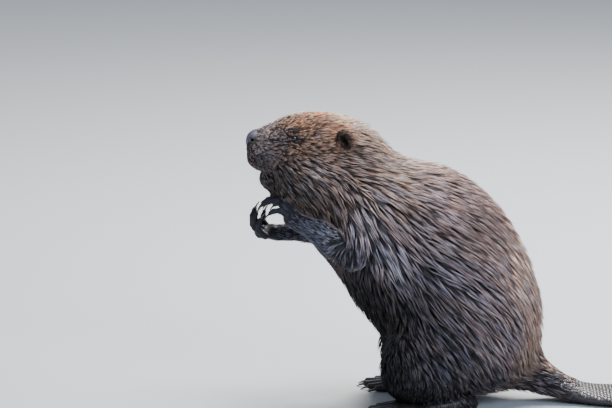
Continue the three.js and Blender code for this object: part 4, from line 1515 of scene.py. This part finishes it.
def makeTailScales(skinPiece):
    inputs = {key: tailScales[key] for key in ("Row pitch", "Across pitch", "Height", "Seed")}
    tree = Geometry("tail scales", {**inputs, "Skin": skinPiece})
    rowPitch, acrossPitch = tree.given("Row pitch"), tree.given("Across pitch")
    startX, startY = tailScales["start"]
    rows = int((tailScales["end"] - startX) / 1000 / tailScales["Row pitch"])
    columns = int(2 * tailScales["halfWidth"] / 1000 / tailScales["Across pitch"])
    index = tree.add("GeometryNodeInputIndex")
    row = tree.sum("FLOOR", index / columns)
    column = index - row * columns
    odd = tree.sum("MODULO", row, 2.0) * 0.5
    x, y, _ = toScene(np.array([startX, startY, 0]))
    place = tree.vector(row * rowPitch + x, (column + odd - columns / 2) * acrossPitch + y, 0.2)
    values = {"Count": rows * columns, "Position": place}
    points = tree.add("GeometryNodePoints", values=values)
    target = tree.add("GeometryNodeObjectInfo", values={"Object": tree.given("Skin")}, output="Geometry")
    down = {"Target Geometry": target, "Ray Direction": (0, 0, -1), "Ray Length": 1.0}
    hit = tree.add("GeometryNodeRaycast", values=down, output="Is Hit")
    normal = hit.beside("Hit Normal")
    upward = tree.add("ShaderNodeSeparateXYZ", values={0: normal}, output="Z")
    kept = hit * tree.sum("GREATER_THAN", upward, tailScales["steepest"])
    points = tree.store(points, "up", "FLOAT_VECTOR", normal)
    points = tree.store(points, "kept", "FLOAT", kept)
    values = {"Geometry": points, "Position": hit.beside("Hit Position")}
    points = tree.add("GeometryNodeSetPosition", values=values)
    lost = tree.sum("LESS_THAN", tree.stored("kept", "FLOAT"), 0.5)
    values = {"Geometry": points, "Selection": lost}
    points = tree.add("GeometryNodeDeleteGeometry", {"domain": "POINT"}, values)
    values = {"Vertices": tailScales["corners"], "Radius Top": tailScales["taper"]}
    values.update({"Radius Bottom": 1.0, "Depth": 1.0})
    plate = tree.add("GeometryNodeMeshCone", values=values, output="Mesh")
    low, high = tailScales["sizes"]
    values = {"Seed": tree.given("Seed"), 2: low, 3: high}
    drawn = tree.add("FunctionNodeRandomValue", {"data_type": "FLOAT"}, values, 1)
    long, wide = tailScales["overlap"]
    size = tree.vector(rowPitch * long * drawn, acrossPitch * wide * drawn, tree.given("Height"))
    instances = tree.instances(points, plate, "up", size)
    sheet = Sheet("tail scale")
    worn = sheet.noise(0.012, 4)
    tint = sheet.mix(worn, colour((46, 42, 43)), colour((80, 73, 71)))
    grain = sheet.bump(sheet.noise(0.0012, 3), 0.3, 0.0003)
    material = sheet.finish(Base_Color=tint, Roughness=0.46 - worn * 0.12, Normal=grain)
    mesh = tree.makeMesh("tail_scales", instances, material, bpy.data.meshes.new("start"))
    addPiece(mesh, "tail_skin")
    print("tail scales:", len(mesh.polygons), "faces")


# whiskers and brow bristles
whiskers = {
    "Thickness": 0.009,  # of its length
    "Sag": 0.22,
    "rows": 4,
    "columns": 5,
    "pad": ((-229, -207), (333, 316)),  # x and z of the pad they grow from
    "length": (28, 52),
    "padY": 34,
    "brow": ((-186, 362), (-181, 364), (-176, 365)),  # x and z
    "browY": 30,
    "browLength": 16,
    "wander": 0.08,
    "standing": 0.35,  # how far they lean off the skin
    "seed": 5,
}


def whiskerRoots(rng):
    # place, direction and length of each
    found = []
    for side in (-1, 1):
        for i in range(whiskers["rows"]):
            for j in range(whiskers["columns"]):
                u = (j + 0.5 * (i % 2) + rng.normal(0, whiskers["wander"])) / whiskers["columns"]
                v = (i + rng.normal(0, whiskers["wander"])) / (whiskers["rows"] - 1)
                acrossPad, downPad = whiskers["pad"]
                root = (between(acrossPad, u), side * whiskers["padY"], between(downPad, v))
                low, high = whiskers["length"]
                length = low + (high - low) * u * (0.7 + 0.3 * rng.random())
                found.append((root, (0.25 + 0.7 * u, side * 0.8, -0.15 - 0.5 * v), length))
        for x, z in whiskers["brow"]:
            length = whiskers["browLength"] * rng.uniform(0.7, 1.1)
            found.append(((x, side * whiskers["browY"], z), (0.9, side * 0.5, 0.5), length))
    return [np.array(rows, float) for rows in zip(*found)]


def makeWhiskers():
    rng = np.random.default_rng(whiskers["seed"])
    roots, lies, lengths = whiskerRoots(rng)
    points = ontoForm(roots, 1, 16)
    slope = slopeOf(points, 1)[1]
    lies = unit(lies + rng.normal(0, whiskers["wander"], lies.shape))
    lies = unit(lies + whiskers["standing"] * unit(slope))
    mesh = bpy.data.meshes.new("roots")
    mesh.from_pydata(toScene(points).tolist(), [], [])
    store(mesh, "lie", "FLOAT_VECTOR", lies)
    store(mesh, "reach", "FLOAT", lengths / 1000)
    tree = Geometry("whiskers", {key: whiskers[key] for key in ("Thickness", "Sag")})
    bend = tree.vector(tree.given("Sag") * -1.0, 0.0, 1.0)
    values = {"Resolution": 8, "Start": (0, 0, 0), "Middle": (0, 0, 0.55), "End": bend}
    curve = tree.add("GeometryNodeCurveQuadraticBezier", values=values)
    along = tree.add("GeometryNodeSplineParameter", output="Factor")
    ring = tree.add("GeometryNodeCurvePrimitiveCircle", values={"Resolution": 5, "Radius": 1.0})
    values = {"Curve": curve, "Profile Curve": ring, "Fill Caps": True}
    values["Scale"] = (1.02 - along) * tree.given("Thickness")
    whisker = tree.add("GeometryNodeCurveToMesh", values=values)
    points = tree.given("Geometry")
    instances = tree.instances(points, whisker, "lie", tree.stored("reach", "FLOAT"))
    material = Sheet("whisker").finish(Base_Color=colour((52, 46, 44)), Roughness=0.4)
    mesh = tree.makeMesh("whiskers", instances, material, mesh)
    addPiece(mesh, "coat")
    print("whiskers:", len(mesh.polygons), "faces")


# studio
studio = {
    "aim": (-161.2, 0, 262.2),
    "elevation": 11,
    "distance": 7.0,
    "width": 0.7956,  # seen at the aim
    "sensor": 36,
    "floor": 150,
    "world": (0.78, 0.86, 1.0),
    "worldStrength": 0.6,
    "lights": [  # place seen from the aim, size, power, colour
        ("rim", (1.0, 1.5, 1.9), 1.4, 190, (1, 0.96, 0.91)),
        ("fill", (1.3, -2.0, 1.1), 1.2, 60, (0.7, 0.83, 1)),
        ("top", (0.7, 0.0, 2.2), 1.5, 104, (0.8, 0.89, 1)),
    ],
}


def makeStudio():
    scene = bpy.context.scene
    aim = Vector(toScene(np.array(studio["aim"], float)))
    tilt = math.radians(studio["elevation"])
    camera = bpy.data.cameras.new("camera")
    camera.sensor_width = studio["sensor"]
    camera.lens = studio["sensor"] * studio["distance"] / studio["width"]
    camera.clip_end = 500
    holder = bpy.data.objects.new("camera", camera)
    holder.location = aim + Vector((0, -math.cos(tilt), math.sin(tilt))) * studio["distance"]
    holder.rotation_euler = (math.pi / 2 - tilt, 0, 0)
    scene.collection.objects.link(holder)
    scene.camera = holder
    for name, place, size, power, tint in studio["lights"]:
        light = bpy.data.lights.new(name, "AREA")
        light.shape = "DISK"
        light.size = size
        light.energy = power
        light.color = tint
        lamp = bpy.data.objects.new(name, light)
        lamp.location = aim + Vector(place)
        lamp.rotation_euler = (aim - lamp.location).to_track_quat("-Z", "Y").to_euler()
        scene.collection.objects.link(lamp)
    world = bpy.data.worlds.new("studio")
    world.use_nodes = True
    background = world.node_tree.nodes["Background"]
    background.inputs["Color"].default_value = (*studio["world"], 1)
    background.inputs["Strength"].default_value = studio["worldStrength"]
    scene.world = world
    sheet = Sheet("floor")
    material = sheet.finish(Base_Color=(0.4, 0.41, 0.42, 1), Roughness=0.7)
    mesh = bpy.data.meshes.new("floor")
    far = studio["floor"]
    corners = [(-far, -far, 0), (far, -far, 0), (far, far, 0), (-far, far, 0)]
    mesh.from_pydata(corners, [], [(0, 1, 2, 3)])
    mesh.materials.append(material)
    floor = bpy.data.objects.new("floor", mesh)
    scene.collection.objects.link(floor)
    print("studio done")


skinPoints, skinFaces = makeSkinShape()
skinPiece = makeSkinPiece(skinPoints, skinFaces)
makeCoatPieces(skinPoints, skinFaces)
makeEyes()
makeClaws()
makeTailScales(skinPiece)
makeWhiskers()
makeStudio()
